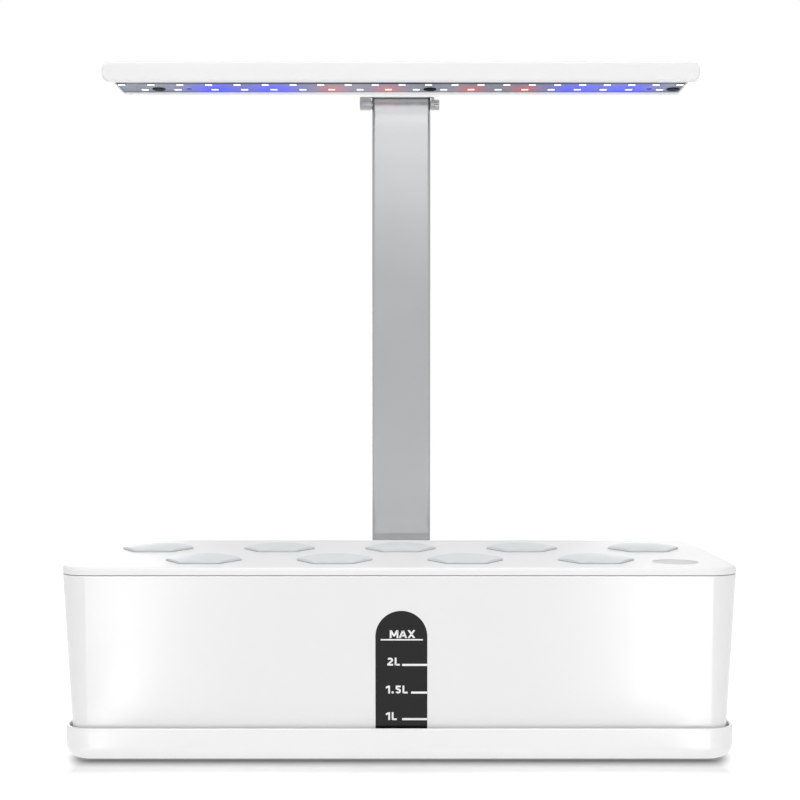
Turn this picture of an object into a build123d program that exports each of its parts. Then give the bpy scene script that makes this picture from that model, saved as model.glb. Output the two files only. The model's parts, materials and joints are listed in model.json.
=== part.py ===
from build123d import *
import math
import os

# Countertop hydroponic garden, in millimetres. +Z is up, +X is to the right and +Y is to the back.
# Sub-parts are drawn about the middle of the water tank, and all are moved together at the end, so
# that the origin is at the bottom centre of the whole.

# ---- overall sizes --------------------------------------------------------------------------
DECK_W = 360.0
DECK_D = 148.0
CORNER_R = 15.0
DECK_TOP = 103.4
LAMP_BOTTOM = 383.2

# ---- clearances -----------------------------------------------------------------------------
SEAT_GAP = 0.1
BODY_GAP = 0.3
RUN_GAP = 0.05
SLIP_GAP = 0.4
STEP_GAP = 0.6

# ---- tray and feet --------------------------------------------------------------------------
FOOT_STAND = 1.0
FOOT_R = 6.0
FOOT_RECESS = 1.0
TRAY_INSET = 1.5
TRAY_RIM = 18.4
TRAY_WALL = 1.8
TRAY_FLOOR = 2.4
TRAY_FILLET = 8.0
TONGUE_T = 3.0

# ---- tank -----------------------------------------------------------------------------------
TANK_DRAFT = 3.6
TANK_WALL = 2.2
TANK_FLOOR = 2.4
TANK_FILLET = 4.0
LID_RIM = 4.2
LIP_H = 5.0
LIP_T = 1.8

# ---- level window ---------------------------------------------------------------------------
WINDOW_X = 1.1
WINDOW_W = 27.4
WINDOW_TOP = 80.6
WINDOW_BOTTOM = 12.0
WINDOW_FLANGE = 2.5
WINDOW_FLANGE_T = 1.0

# ---- deck -----------------------------------------------------------------------------------
DECK_T = 2.4
DECK_FILLET = 1.5
SEAM_ROUND = 0.6
DECK_RIB_T = 1.4
DECK_RIB_H = 4.0
POD_PITCH = 72.0
POD_BACK_IN = 53.0
POD_FRONT_IN = 35.5
POD_HOLE_R = 15.3
COLLAR_T = 1.6
COLLAR_H = 5.0
FILLER_SIDE_IN = 30.0
FILLER_FRONT_IN = 26.5
FILLER_R = 12.5

# ---- pods -----------------------------------------------------------------------------------
BASKET_FLANGE_R = 16.5
BASKET_FLANGE_T = 0.8
BASKET_H = 46.0
BASKET_BOTTOM_R = 11.5
BASKET_WALL = 1.2
BASKET_SLOTS = 8
BASKET_SLOT_W = 3.2
BASKET_RIB_Z = 5.0
BASKET_BAND_H = 2.4
SPONGE_GAP = 0.3
SPONGE_CUT = 1.0
CAP_ACROSS = 42.4
CAP_CORNER_R = 2.5
CAP_RIM_H = 0.7
CAP_RISE = 2.4
CAP_HOLLOW_R = 14.0
CAP_HOLLOW_RISE = 1.2

# ---- rear housing ---------------------------------------------------------------------------
HOUSING_W = 84.0
HOUSING_WALL = 2.2
HOUSING_TOP = 96.0
HOUSING_STEP = 0.7
HOUSING_CORNER = 3.0
COVER_T = 1.4
RIB_T = 1.6
BOSS_R = 2.6
SCREW_R = 1.1
SCREW_HEAD_H = 1.2

# ---- pole -----------------------------------------------------------------------------------
POLE_W = 37.0
POLE_T = 10.0
POLE_R = 2.2
POLE_WALL = 1.4
POLE_ABOVE_AXIS = 3.6
POLE_SCREW_R = 1.7
POLE_SCREW_HEAD_R = 3.4
POLE_SCREW_HEAD_H = 2.0
POLE_SCREW_Z = (30.0, 70.0)
PLUG_H = 22.0

# ---- hinge ----------------------------------------------------------------------------------
AXIS_BELOW_LAMP = 3.3
AXIS_IN_POLE = 2.9
PIN_R = 1.5
PIN_DEPTH = 12.0
CHEEK_R = 3.4
LEFT_CHEEK_T = 7.0
RIGHT_CHEEK_T = 1.8
WASHER_T = 0.5
WASHER_R = 2.6
PLATE_T = 1.8
KNOB_R = 3.3
KNOB_T = 3.2
KNOB_FLUTES = 10
PIVOT_R = 2.0
PIVOT_BORE_R = 1.2

# ---- lamp -----------------------------------------------------------------------------------
LAMP_W = 360.0
LAMP_D = 43.0
LAMP_H = 12.5
LAMP_END_R = 5.0
LAMP_FRONT_WALL = 2.4
LAMP_END_WALL = 6.5
LAMP_REAR_RAIL = 7.4
LAMP_SKIN = 1.8
LAMP_EDGE = 1.6
BOARD_T = 1.6
BOARD_RECESS = 1.5
BOARD_GAP = 0.2
LED_W = 4.2
LED_D = 2.0
LED_T = 0.5
FRONT_LEDS = 22
FRONT_LED_IN = 9.5
FRONT_PITCH_RATIO = 1.22
REAR_RUN_LEDS = 16
REAR_RUN_IN = (64.7, 38.9)
REAR_PITCH_RATIO = 1.16
REAR_LEFT_IN = (21.4, 41.8)
REAR_RIGHT_IN = 19.7
LED_ROW_STEP = 12.6
FRONT_ROW_IN = 13.6
RED_PLACES = (6, 8, 11, 13)
BLUE_PLACES = (2, 4, 15, 17)
BOARD_SCREW_IN = (30.0, 11.4)
BOARD_SCREW_R = 4.0
BOARD_HOLE_IN = (48.7, 26.1)
BOARD_HOLE_R = 1.7
LEAD_R = 1.1

# ---- controls -------------------------------------------------------------------------------
BUTTON_X = -30.5
BUTTON_R = 4.1
BUTTON_PROUD = 1.6
BUTTON_TRAVEL = 1.0
BUTTON_FLANGE_R = 4.8
BUTTON_FLANGE_T = 1.0
SWITCH_SIZE = 6.0
SWITCH_H = 4.0
SHELF_T = 2.0
CIRCUIT_W = 17.0
CIRCUIT_Z = (36.0, 84.0)
CIRCUIT_T = 1.6
JACK_Z = 20.0
JACK_BODY = 9.0
JACK_NOSE_R = 3.9
JACK_BORE_R = 2.75
JACK_BORE_DEPTH = 9.0
JACK_PIN_R = 1.0

# ---- pump -----------------------------------------------------------------------------------
PUMP_X = 36.0
PUMP_BACK_IN = 33.0
PUMP_W = 30.0
PUMP_D = 24.0
PUMP_H = 30.0
PUMP_R = 4.0
ROTOR_R = 5.0
ROTOR_L = 14.0
IMPELLER_R = 7.0
IMPELLER_T = 3.6
BLADES = 6
BLADE_T = 1.0
SHAFT_R = 1.0
ROTOR_GAP = 0.6
PUMP_COVER_T = 5.0
PUMP_COVER_SKIN = 1.6
NOZZLE_R = 3.8
NOZZLE_BORE_R = 2.2
NOZZLE_H = 9.0
PUMP_LEAD_R = 1.5
PUMP_LEAD_X = 31.0
PUMP_LEAD_IN = 18.0
PUMP_LEAD_Z = 79.0
PUMP_LEAD_BEND = 12.0
GROMMET_R = 4.4
GROMMET_FLANGE = 0.6

# ---- small sizes ----------------------------------------------------------------------------
FOOT_IN = 30.0
FOOT_ROUND = 0.6
TONGUE_SCREW_IN = 8.0
TRAY_RIM_ROUND = 0.7
COVER_HEAD_R = 2.1
COVER_SCREW_L = 8.0
BASKET_DRAIN_R = 4.0
SPONGE_SLIT_IN = 5.0
SPONGE_SLIT_H = 9.0
BUTTON_NUB_H = 1.2
BUTTON_NUB_R = 1.6
BUTTON_GAP = 0.3
BUTTON_ROUND = 0.8
SWITCH_NUB_H = 0.8
PEG_IN = 2.6
PEG_R = 1.6
BOSS_DROP = 2.0
HOUSING_EDGE = 1.2
SOCKET_SIZE = 6.0
CHIP_SIZE = 8.0
CHIP_T = 1.2
CAPACITOR_R = 3.0
CAPACITOR_H = 3.6
JACK_PIN_IN = 1.0
POLE_SCREW_ROUND = 0.8
POLE_NUT_R = 3.0
POLE_NUT_T = 2.0
PLUG_CAP_T = 1.0
PIVOT_L = 4.5
CHEEK_RISE = 10.5
LEAD_RISE = 10.0
LEAD_REACH = 6.0
LEAD_BEND = 5.0
LEAD_FOOT_BEND = 10.0
LEAD_CHEEK_BEND = 2.4
LEAD_Z = 70.0
BRACKET_SCREW_X = (-11.0, 11.0)
BRACKET_SCREW_UP = 5.3
BRACKET_SCREW_L = 7.0
BRACKET_HEAD_R = 2.1
KNOB_ROUND = 0.6
KNOB_FLUTE_R = 0.7
BOARD_BOSS_R = 3.4
DRIVER_W = 12.0
DRIVER_D = 8.0
PUMP_EDGE = 1.5
SHAFT_SEAT = 1.6
SHAFT_SEAT_GAP = 0.02
SHAFT_BOSS_R = 2.2
INTAKE_SLOTS = 5
INTAKE_PITCH = 4.4
INTAKE_W = 2.0
INTAKE_MID = 6.6
INTAKE_L = 7.5
GROMMET_RIM = 1.4
GROMMET_INSIDE_T = 1.2

# ---- sizes that follow ----------------------------------------------------------------------
SEAM_Z = DECK_TOP - LID_RIM
TRAY_BOTTOM = FOOT_STAND
TANK_BOTTOM = TRAY_BOTTOM + TRAY_FLOOR + SEAT_GAP
TANK_TOP = SEAM_Z - SEAT_GAP
TANK_H = TANK_TOP - TANK_BOTTOM
TANK_SHRINK = TANK_H * math.tan(math.radians(TANK_DRAFT))
TANK_BASE_W = DECK_W - 2 * TANK_SHRINK
TANK_BASE_D = DECK_D - 2 * TANK_SHRINK
TANK_BASE_R = CORNER_R - TANK_SHRINK
TANK_BACK = DECK_D / 2
FLOOR_Z = TANK_BOTTOM + TANK_FLOOR
BACK_ROW_Y = DECK_D / 2 - POD_BACK_IN
FRONT_ROW_Y = POD_FRONT_IN - DECK_D / 2
FILLER_X = DECK_W / 2 - FILLER_SIDE_IN
FILLER_Y = FILLER_FRONT_IN - DECK_D / 2
HOUSING_FRONT = TANK_BACK + HOUSING_STEP
POLE_FRONT = HOUSING_FRONT + COVER_T + SEAT_GAP
POLE_BACK = POLE_FRONT + POLE_T
HOUSING_BACK = POLE_BACK + SEAT_GAP + HOUSING_WALL
HOUSING_BOTTOM = TRAY_BOTTOM + TONGUE_T
POLE_BOTTOM = HOUSING_BOTTOM + HOUSING_WALL + SEAT_GAP
AXIS_Y = POLE_FRONT + AXIS_IN_POLE
AXIS_Z = LAMP_BOTTOM - AXIS_BELOW_LAMP
POLE_TOP = AXIS_Z + POLE_ABOVE_AXIS
PLATE_BACK = AXIS_Y - CHEEK_R - 1.0
LAMP_BACK = PLATE_BACK - PLATE_T
LAMP_FRONT = LAMP_BACK - LAMP_D
LAMP_TOP = LAMP_BOTTOM + LAMP_H
BOARD_BOTTOM = LAMP_BOTTOM + BOARD_RECESS
BOARD_TOP = BOARD_BOTTOM + BOARD_T
CHEEK_IN = POLE_W / 2 + 2 * RUN_GAP + WASHER_T
PUMP_Y = TANK_BACK - PUMP_BACK_IN
PUMP_Z = FLOOR_Z + SEAT_GAP
PUMP_LEAD_Y = TANK_BACK - PUMP_LEAD_IN
JACK_X = HOUSING_W / 2 - HOUSING_WALL - BODY_GAP - CIRCUIT_W / 2
CIRCUIT_FRONT = AXIS_Y + LEAD_R + BODY_GAP
PUMP_LEAD_END = POLE_FRONT + 1.6
WHOLE_SHIFT = (HOUSING_BACK - DECK_D / 2) / 2


# ---- helpers --------------------------------------------------------------------------------
def block(x0, x1, y0, y1, z0, z1):
    return Pos((x0 + x1) / 2, (y0 + y1) / 2, (z0 + z1) / 2) * Box(x1 - x0, y1 - y0, z1 - z0)


def rod_z(x, y, z0, z1, r):
    return Pos(x, y, (z0 + z1) / 2) * Cylinder(r, z1 - z0)


def rod_x(x0, x1, y, z, r):
    return Pos((x0 + x1) / 2, y, z) * Rot(0, 90, 0) * Cylinder(r, x1 - x0)


def rod_y(x, y0, y1, z, r):
    return Pos(x, (y0 + y1) / 2, z) * Rot(-90, 0, 0) * Cylinder(r, y1 - y0)


def rounded_slab(w, d, r, z0, z1, x=0.0, y=0.0):
    return extrude(Pos(x, y, z0) * RectangleRounded(w, d, r), z1 - z0)


def level_edges(solid, z):
    return solid.edges().filter_by_position(Axis.Z, z - 0.01, z + 0.01)


def back_corners(solid):
    upright = solid.edges().filter_by(Axis.Z)
    return upright.filter_by_position(Axis.Y, HOUSING_BACK - 0.01, HOUSING_BACK + 0.01)


def group(solids):
    return Compound(children=list(solids))


def lead(points, radius, bend):
    path = FilletPolyline(*points, radius=bend)
    return sweep(Plane(origin=path @ 0, z_dir=path % 0) * Circle(radius), path)


def dome(r, z, rise):
    ball_r = (r ** 2 + rise ** 2) / (2 * rise)
    return Pos(0, 0, z + rise - ball_r) * Sphere(ball_r) & rod_z(0, 0, z, z + 2 * rise, r)


def countersunk_screw(place, turn, length, head_r, gap=0.0):
    head = Pos(0, 0, -SCREW_HEAD_H / 2) * Cone(SCREW_R + gap, head_r + gap, SCREW_HEAD_H)
    shank_l = length - SCREW_HEAD_H
    shank = Pos(0, 0, -SCREW_HEAD_H - shank_l / 2) * Cylinder(SCREW_R + gap, shank_l)
    return Pos(*place) * turn * (head + shank)


FORWARD = Rot(90, 0, 0)
BACKWARD = Rot(-90, 0, 0)
DOWN = Rot(180, 0, 0)


# ---- tray and feet --------------------------------------------------------------------------
def foot_places():
    x = DECK_W / 2 - FOOT_IN
    y = DECK_D / 2 - FOOT_IN
    return [(sx * x, sy * y) for sx in (-1, 1) for sy in (-1, 1)]


def tongue_screw_places():
    x = HOUSING_W / 2 - TONGUE_SCREW_IN
    y = (HOUSING_FRONT + HOUSING_BACK) / 2
    return [(-x, y), (x, y)]


def drip_tray():
    w = DECK_W - 2 * TRAY_INSET
    d = DECK_D - 2 * TRAY_INSET
    body = rounded_slab(w, d, CORNER_R, TRAY_BOTTOM, TRAY_RIM)
    body = fillet(level_edges(body, TRAY_BOTTOM), TRAY_FILLET)
    floor = TRAY_BOTTOM + TRAY_FLOOR
    hollow = rounded_slab(w - 2 * TRAY_WALL, d - 2 * TRAY_WALL, CORNER_R - TRAY_WALL, floor, TRAY_RIM)
    hollow = fillet(level_edges(hollow, floor), TRAY_FILLET - TRAY_FLOOR)
    body -= hollow
    body = fillet(level_edges(body, TRAY_RIM), TRAY_RIM_ROUND)
    # The tongue starts where the rounded inside corner of the tray is as high as the tongue's top.
    inside_r = TRAY_FILLET - TRAY_FLOOR
    inside_drop = floor + inside_r - HOUSING_BOTTOM
    tongue_front = d / 2 - TRAY_WALL - inside_r + math.sqrt(inside_r ** 2 - inside_drop ** 2) + BODY_GAP
    tongue = block(-HOUSING_W / 2, HOUSING_W / 2, tongue_front, HOUSING_BACK, TRAY_BOTTOM, HOUSING_BOTTOM)
    body += fillet(back_corners(tongue), HOUSING_CORNER)
    for x, y in foot_places():
        body -= rod_z(x, y, TRAY_BOTTOM, TRAY_BOTTOM + FOOT_RECESS, FOOT_R + SEAT_GAP)
    for x, y in tongue_screw_places():
        body -= countersunk_screw((x, y, TRAY_BOTTOM), DOWN, TONGUE_T, COVER_HEAD_R, RUN_GAP)
    return body


def tray_feet():
    top = FOOT_STAND + FOOT_RECESS
    feet = []
    for x, y in foot_places():
        foot = rod_z(x, y, 0, top, FOOT_R)
        feet.append(fillet(level_edges(foot, 0), FOOT_ROUND))
    return group(feet)


# ---- tank and window ------------------------------------------------------------------------
def tank_form(inset, z0, z1):
    spread = (z0 - TANK_BOTTOM) * math.tan(math.radians(TANK_DRAFT)) - inset
    w = TANK_BASE_W + 2 * spread
    d = TANK_BASE_D + 2 * spread
    plan = Pos(0, 0, z0) * RectangleRounded(w, d, TANK_BASE_R + spread)
    return extrude(plan, z1 - z0, taper=-TANK_DRAFT)


def window_form(grow):
    r = WINDOW_W / 2 + grow
    spring = WINDOW_TOP - WINDOW_W / 2
    low = WINDOW_BOTTOM - grow
    plan = Pos(WINDOW_X, spring) * Circle(r)
    plan += Pos(WINDOW_X, (low + spring) / 2) * Rectangle(2 * r, spring - low)
    return extrude(Plane.XZ * plan, DECK_D)


def tank_layer(inset, thickness):
    return tank_form(inset, TANK_BOTTOM, TANK_TOP) - tank_form(inset + thickness, TANK_BOTTOM, TANK_TOP)


def water_tank():
    body = tank_form(0, TANK_BOTTOM, TANK_TOP)
    body = fillet(level_edges(body, TANK_BOTTOM), TANK_FILLET)
    body = fillet(level_edges(body, TANK_TOP), SEAM_ROUND)
    body -= tank_form(TANK_WALL, FLOOR_Z, TANK_TOP)
    body -= window_form(0)
    body -= rod_y(PUMP_LEAD_X, 0, DECK_D, PUMP_LEAD_Z, GROMMET_R)
    return body


def level_window():
    pane = window_form(-RUN_GAP) & tank_layer(RUN_GAP, TANK_WALL - RUN_GAP)
    flange = window_form(WINDOW_FLANGE) & tank_layer(TANK_WALL, WINDOW_FLANGE_T)
    return pane + flange


# ---- deck -----------------------------------------------------------------------------------
def pod_places():
    back = [((i - 2) * POD_PITCH, BACK_ROW_Y) for i in range(5)]
    front = [((i - 1.5) * POD_PITCH, FRONT_ROW_Y) for i in range(4)]
    return back + front


def deck_ribs(half_w, half_d, low, high):
    middle = (BACK_ROW_Y + FRONT_ROW_Y) / 2
    half_t = DECK_RIB_T / 2
    ribs = block(-half_w, half_w, middle - half_t, middle + half_t, low, high)
    for step in range(-3, 4):
        x = step * POD_PITCH / 2
        y = half_d if step % 2 else -half_d
        ribs += block(x - half_t, x + half_t, min(y, middle), max(y, middle), low, high)
    return ribs


def deck():
    body = rounded_slab(DECK_W, DECK_D, CORNER_R, SEAM_Z, DECK_TOP)
    body = fillet(level_edges(body, DECK_TOP), DECK_FILLET)
    body = fillet(level_edges(body, SEAM_Z), SEAM_ROUND)
    underside = DECK_TOP - DECK_T
    lip_in = TANK_WALL + SLIP_GAP + LIP_H * math.tan(math.radians(TANK_DRAFT))
    lip_low = SEAM_Z - LIP_H
    lip_w = DECK_W - 2 * lip_in
    lip_d = DECK_D - 2 * lip_in
    body += rounded_slab(lip_w, lip_d, CORNER_R - lip_in, lip_low, SEAM_Z)
    body -= rounded_slab(lip_w - 2 * LIP_T, lip_d - 2 * LIP_T, CORNER_R - lip_in - LIP_T, lip_low, underside)
    body += deck_ribs((lip_w - LIP_T) / 2, (lip_d - LIP_T) / 2, underside - DECK_RIB_H, underside)
    for x, y in pod_places():
        body += rod_z(x, y, underside - COLLAR_H, underside, POD_HOLE_R + COLLAR_T)
    body += rod_z(FILLER_X, FILLER_Y, underside - COLLAR_H, underside, FILLER_R + COLLAR_T)
    for x, y in pod_places():
        body -= rod_z(x, y, underside - COLLAR_H, DECK_TOP, POD_HOLE_R)
    body -= rod_z(FILLER_X, FILLER_Y, underside - COLLAR_H, DECK_TOP, FILLER_R)
    return body


# ---- pods -----------------------------------------------------------------------------------
def pod_basket():
    seat = DECK_TOP + SEAT_GAP
    bottom = DECK_TOP - BASKET_H
    top_r = POD_HOLE_R - SLIP_GAP
    top = seat + BASKET_FLANGE_T
    floor = bottom + BASKET_WALL
    floor_r = BASKET_BOTTOM_R - BASKET_WALL
    rim_r = BASKET_FLANGE_R
    outside = make_face(Polyline((0, bottom), (BASKET_BOTTOM_R, bottom), (top_r, seat), (rim_r, seat),
                                 (rim_r, top), (0, top), close=True))
    mouth_r = top_r - BASKET_WALL
    inside = make_face(Polyline((0, floor), (floor_r, floor), (mouth_r, top), (0, top), close=True))
    body = revolve(Plane.XZ * outside, Axis.Z) - revolve(Plane.XZ * inside, Axis.Z)
    slot_low = bottom + BASKET_RIB_Z
    slot_high = DECK_TOP - DECK_T - COLLAR_H - BASKET_RIB_Z
    middle = (slot_low + slot_high) / 2
    half = BASKET_SLOT_W / 2
    slot = block(BASKET_BOTTOM_R / 2, rim_r, -half, half, slot_low, slot_high)
    slot -= block(0, rim_r, -half, half, middle - BASKET_BAND_H / 2, middle + BASKET_BAND_H / 2)
    for i in range(BASKET_SLOTS):
        body -= Rot(0, 0, (i + 0.5) * 360 / BASKET_SLOTS) * slot
    return body - rod_z(0, 0, bottom, bottom + BASKET_WALL, BASKET_DRAIN_R)


def pod_sponge():
    bottom = DECK_TOP - BASKET_H + BASKET_WALL
    top = DECK_TOP + SEAT_GAP + BASKET_FLANGE_T
    low_r = BASKET_BOTTOM_R - BASKET_WALL - SPONGE_GAP
    high_r = POD_HOLE_R - SLIP_GAP - BASKET_WALL - SPONGE_GAP
    body = Pos(0, 0, (bottom + top) / 2) * Cone(low_r, high_r, top - bottom)
    half = high_r - SPONGE_SLIT_IN
    slit = block(-half, half, -SPONGE_CUT / 2, SPONGE_CUT / 2, top - SPONGE_SLIT_H, top)
    for turn in (0, 90):
        body -= Rot(0, 0, turn) * slit
    return body


def pod_cap():
    low = DECK_TOP + 2 * SEAT_GAP
    plan = RegularPolygon(CAP_ACROSS / 2, 6)
    plan = fillet(plan.vertices(), CAP_CORNER_R)
    body = extrude(Pos(0, 0, low) * plan, CAP_RIM_H + CAP_RISE)
    body &= dome(CAP_ACROSS / 2, low + CAP_RIM_H, CAP_RISE) + rod_z(0, 0, low, low + CAP_RIM_H, CAP_ACROSS / 2)
    over_flange = DECK_TOP + 2 * SEAT_GAP + BASKET_FLANGE_T
    body -= rod_z(0, 0, low, over_flange, BASKET_FLANGE_R + BODY_GAP)
    return body - dome(CAP_HOLLOW_R, over_flange, CAP_HOLLOW_RISE)


# ---- rear housing ---------------------------------------------------------------------------
def cover_screw_places():
    x = HOUSING_W / 2 - HOUSING_WALL - BOSS_R - BODY_GAP
    z0 = HOUSING_BOTTOM + HOUSING_WALL + BOSS_R + BODY_GAP
    z1 = button_levels()[1] - BODY_GAP - BOSS_R - BOSS_DROP
    return [(sx * x, z) for sx in (-1, 1) for z in (z0, z1)]


def button_levels():
    flange_top = HOUSING_TOP - HOUSING_WALL - BODY_GAP
    flange_low = flange_top - BUTTON_FLANGE_T
    nub_low = flange_low - BUTTON_NUB_H
    switch_top = nub_low - BUTTON_TRAVEL - BODY_GAP
    return flange_top, flange_low, nub_low, switch_top


def button_y():
    return (POLE_FRONT + POLE_BACK) / 2


def circuit_pegs():
    x0 = JACK_X - CIRCUIT_W / 2 + PEG_IN
    x1 = JACK_X + CIRCUIT_W / 2 - PEG_IN
    return [(x0, CIRCUIT_Z[0] + PEG_IN), (x1, CIRCUIT_Z[0] + PEG_IN), (x1, CIRCUIT_Z[1] - PEG_IN)]


def rear_housing():
    half = HOUSING_W / 2
    body = block(-half, half, HOUSING_FRONT, HOUSING_BACK, HOUSING_BOTTOM, HOUSING_TOP)
    body = fillet(back_corners(body), HOUSING_CORNER)
    top_edges = level_edges(body, HOUSING_TOP)
    top_edges = top_edges.filter_by_position(Axis.Y, HOUSING_FRONT + 1, HOUSING_BACK + 1)
    body = fillet(top_edges, HOUSING_EDGE)
    inner = half - HOUSING_WALL
    low = HOUSING_BOTTOM + HOUSING_WALL
    high = HOUSING_TOP - HOUSING_WALL
    wall_in = POLE_BACK + SEAT_GAP
    body -= block(-inner, inner, HOUSING_FRONT, wall_in, low, high)
    channel = POLE_W / 2 + SEAT_GAP
    for side in (-1, 1):
        x = side * (channel + RIB_T / 2)
        body += block(x - RIB_T / 2, x + RIB_T / 2, POLE_FRONT, wall_in, low, high)
    body -= block(-channel, channel, HOUSING_FRONT, wall_in, high, HOUSING_TOP)
    for x, z in cover_screw_places():
        body += rod_y(x, HOUSING_FRONT + COVER_T, wall_in, z, BOSS_R)
        body -= rod_y(x, HOUSING_FRONT + COVER_T, wall_in, z, SCREW_R + RUN_GAP)
    for x, z in circuit_pegs():
        body += rod_y(x, CIRCUIT_FRONT + CIRCUIT_T, wall_in, z, PEG_R)
    y = button_y()
    switch_top = button_levels()[3]
    shelf = switch_top - SWITCH_H
    body += block(-inner, -channel, y - SWITCH_SIZE / 2, wall_in, shelf - SHELF_T, shelf)
    body -= rod_z(BUTTON_X, y, high, HOUSING_TOP, BUTTON_R + BUTTON_GAP)
    body -= rod_y(JACK_X, wall_in, HOUSING_BACK, JACK_Z, JACK_NOSE_R + SEAT_GAP)
    for z in POLE_SCREW_Z:
        body -= rod_y(0, wall_in, HOUSING_BACK, z, POLE_SCREW_R + RUN_GAP)
    body -= rod_x(POLE_W / 2, JACK_X - CIRCUIT_W / 2, AXIS_Y, LEAD_Z, LEAD_R + SEAT_GAP)
    for x, y in tongue_screw_places():
        body -= rod_z(x, y, HOUSING_BOTTOM, low, SCREW_R + RUN_GAP)
    return body


def housing_cover():
    half = HOUSING_W / 2 - HOUSING_WALL - SEAT_GAP
    low = HOUSING_BOTTOM + HOUSING_WALL + SEAT_GAP
    high = HOUSING_TOP - HOUSING_WALL - SEAT_GAP
    body = block(-half, half, HOUSING_FRONT, HOUSING_FRONT + COVER_T, low, high)
    for x, z in cover_screw_places():
        body -= countersunk_screw((x, HOUSING_FRONT, z), FORWARD, COVER_T, COVER_HEAD_R, RUN_GAP)
    lead_r = PUMP_LEAD_R + SEAT_GAP
    return body - rod_y(PUMP_LEAD_X, HOUSING_FRONT, HOUSING_FRONT + COVER_T, PUMP_LEAD_Z, lead_r)


def housing_screws():
    screws = []
    for x, z in cover_screw_places():
        screws.append(countersunk_screw((x, HOUSING_FRONT, z), FORWARD, COVER_SCREW_L, COVER_HEAD_R))
    for x, y in tongue_screw_places():
        screws.append(countersunk_screw((x, y, TRAY_BOTTOM), DOWN, TONGUE_T + HOUSING_WALL, COVER_HEAD_R))
    return group(screws)


# ---- pole -----------------------------------------------------------------------------------
def pole_lead_route():
    x = -CHEEK_IN + PIVOT_L + LEAD_BEND
    start_x = JACK_X - CIRCUIT_W / 2 + PEG_IN
    return [(start_x, AXIS_Y, LEAD_Z), (x, AXIS_Y, LEAD_Z), (x, AXIS_Y, AXIS_Z), (-CHEEK_IN, AXIS_Y, AXIS_Z)]


def pole():
    y = (POLE_FRONT + POLE_BACK) / 2
    body = rounded_slab(POLE_W, POLE_T, POLE_R, POLE_BOTTOM, POLE_TOP, y=y)
    inner_w = POLE_W - 2 * POLE_WALL
    inner_t = POLE_T - 2 * POLE_WALL
    body -= rounded_slab(inner_w, inner_t, POLE_R - POLE_WALL, POLE_BOTTOM, POLE_TOP, y=y)
    half = POLE_W / 2
    body -= rod_x(half - POLE_WALL - PIN_DEPTH, half, AXIS_Y, AXIS_Z, PIN_R + RUN_GAP)
    body -= rod_x(-half, -CHEEK_IN + PIVOT_L + SEAT_GAP, AXIS_Y, AXIS_Z, PIVOT_R + RUN_GAP)
    body -= rod_x(half - POLE_R, half, AXIS_Y, LEAD_Z, LEAD_R + SEAT_GAP)
    for z in POLE_SCREW_Z:
        body -= rod_y(0, POLE_BACK - POLE_WALL, POLE_BACK, z, POLE_SCREW_R + RUN_GAP)
    return body


def pole_screws():
    screws = []
    for z in POLE_SCREW_Z:
        crown = HOUSING_BACK + POLE_SCREW_HEAD_H
        head = rod_y(0, HOUSING_BACK, crown, z, POLE_SCREW_HEAD_R)
        head = fillet(head.edges().filter_by_position(Axis.Y, crown - 0.01, crown + 0.01), POLE_SCREW_ROUND)
        shank = rod_y(0, POLE_BACK - POLE_WALL - POLE_NUT_T, HOUSING_BACK, z, POLE_SCREW_R)
        nut = rod_y(0, POLE_BACK - POLE_WALL - POLE_NUT_T, POLE_BACK - POLE_WALL, z, POLE_NUT_R)
        screws.append(head + shank + nut)
    return group(screws)


def pole_plug():
    y = (POLE_FRONT + POLE_BACK) / 2
    w = POLE_W - 2 * POLE_WALL
    d = POLE_T - 2 * POLE_WALL
    low = POLE_TOP - PLUG_H
    body = rounded_slab(w - 2 * RUN_GAP, d - 2 * RUN_GAP, POLE_R - POLE_WALL, low, POLE_TOP, y=y)
    body += rounded_slab(POLE_W, POLE_T, POLE_R, POLE_TOP, POLE_TOP + PLUG_CAP_T, y=y)
    body -= rod_x(POLE_W / 2 - POLE_WALL - PIN_DEPTH, POLE_W / 2, AXIS_Y, AXIS_Z, PIN_R + RUN_GAP)
    pivot_end = -CHEEK_IN + PIVOT_L
    body -= rod_x(-POLE_W / 2, pivot_end + SEAT_GAP, AXIS_Y, AXIS_Z, PIVOT_R + RUN_GAP)
    return body - lead(pole_lead_route(), LEAD_R + SEAT_GAP, (LEAD_FOOT_BEND, LEAD_BEND))


# ---- hinge ----------------------------------------------------------------------------------
def lamp_lead_route():
    x = -CHEEK_IN - LEFT_CHEEK_T / 2
    high = AXIS_Z + LEAD_RISE
    return [(-CHEEK_IN, AXIS_Y, AXIS_Z), (x, AXIS_Y, AXIS_Z), (x, AXIS_Y, high),
            (x, LAMP_BACK - LAMP_REAR_RAIL - LEAD_REACH, high)]


def cheek_plan():
    top = LAMP_BOTTOM + CHEEK_RISE
    back = AXIS_Y + CHEEK_R
    low = AXIS_Z - CHEEK_R
    plan = Pos(AXIS_Y, AXIS_Z) * Circle(CHEEK_R)
    plan += make_face(Polyline((LAMP_BACK, low + CHEEK_R / 2), (LAMP_BACK + CHEEK_R / 2, low), (AXIS_Y, low),
                               (back, AXIS_Z), (back, top), (LAMP_BACK, top), close=True))
    return plan


def cheek(x0, x1):
    return Pos(x0, 0, 0) * extrude(Plane.YZ * cheek_plan(), x1 - x0)


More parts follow.
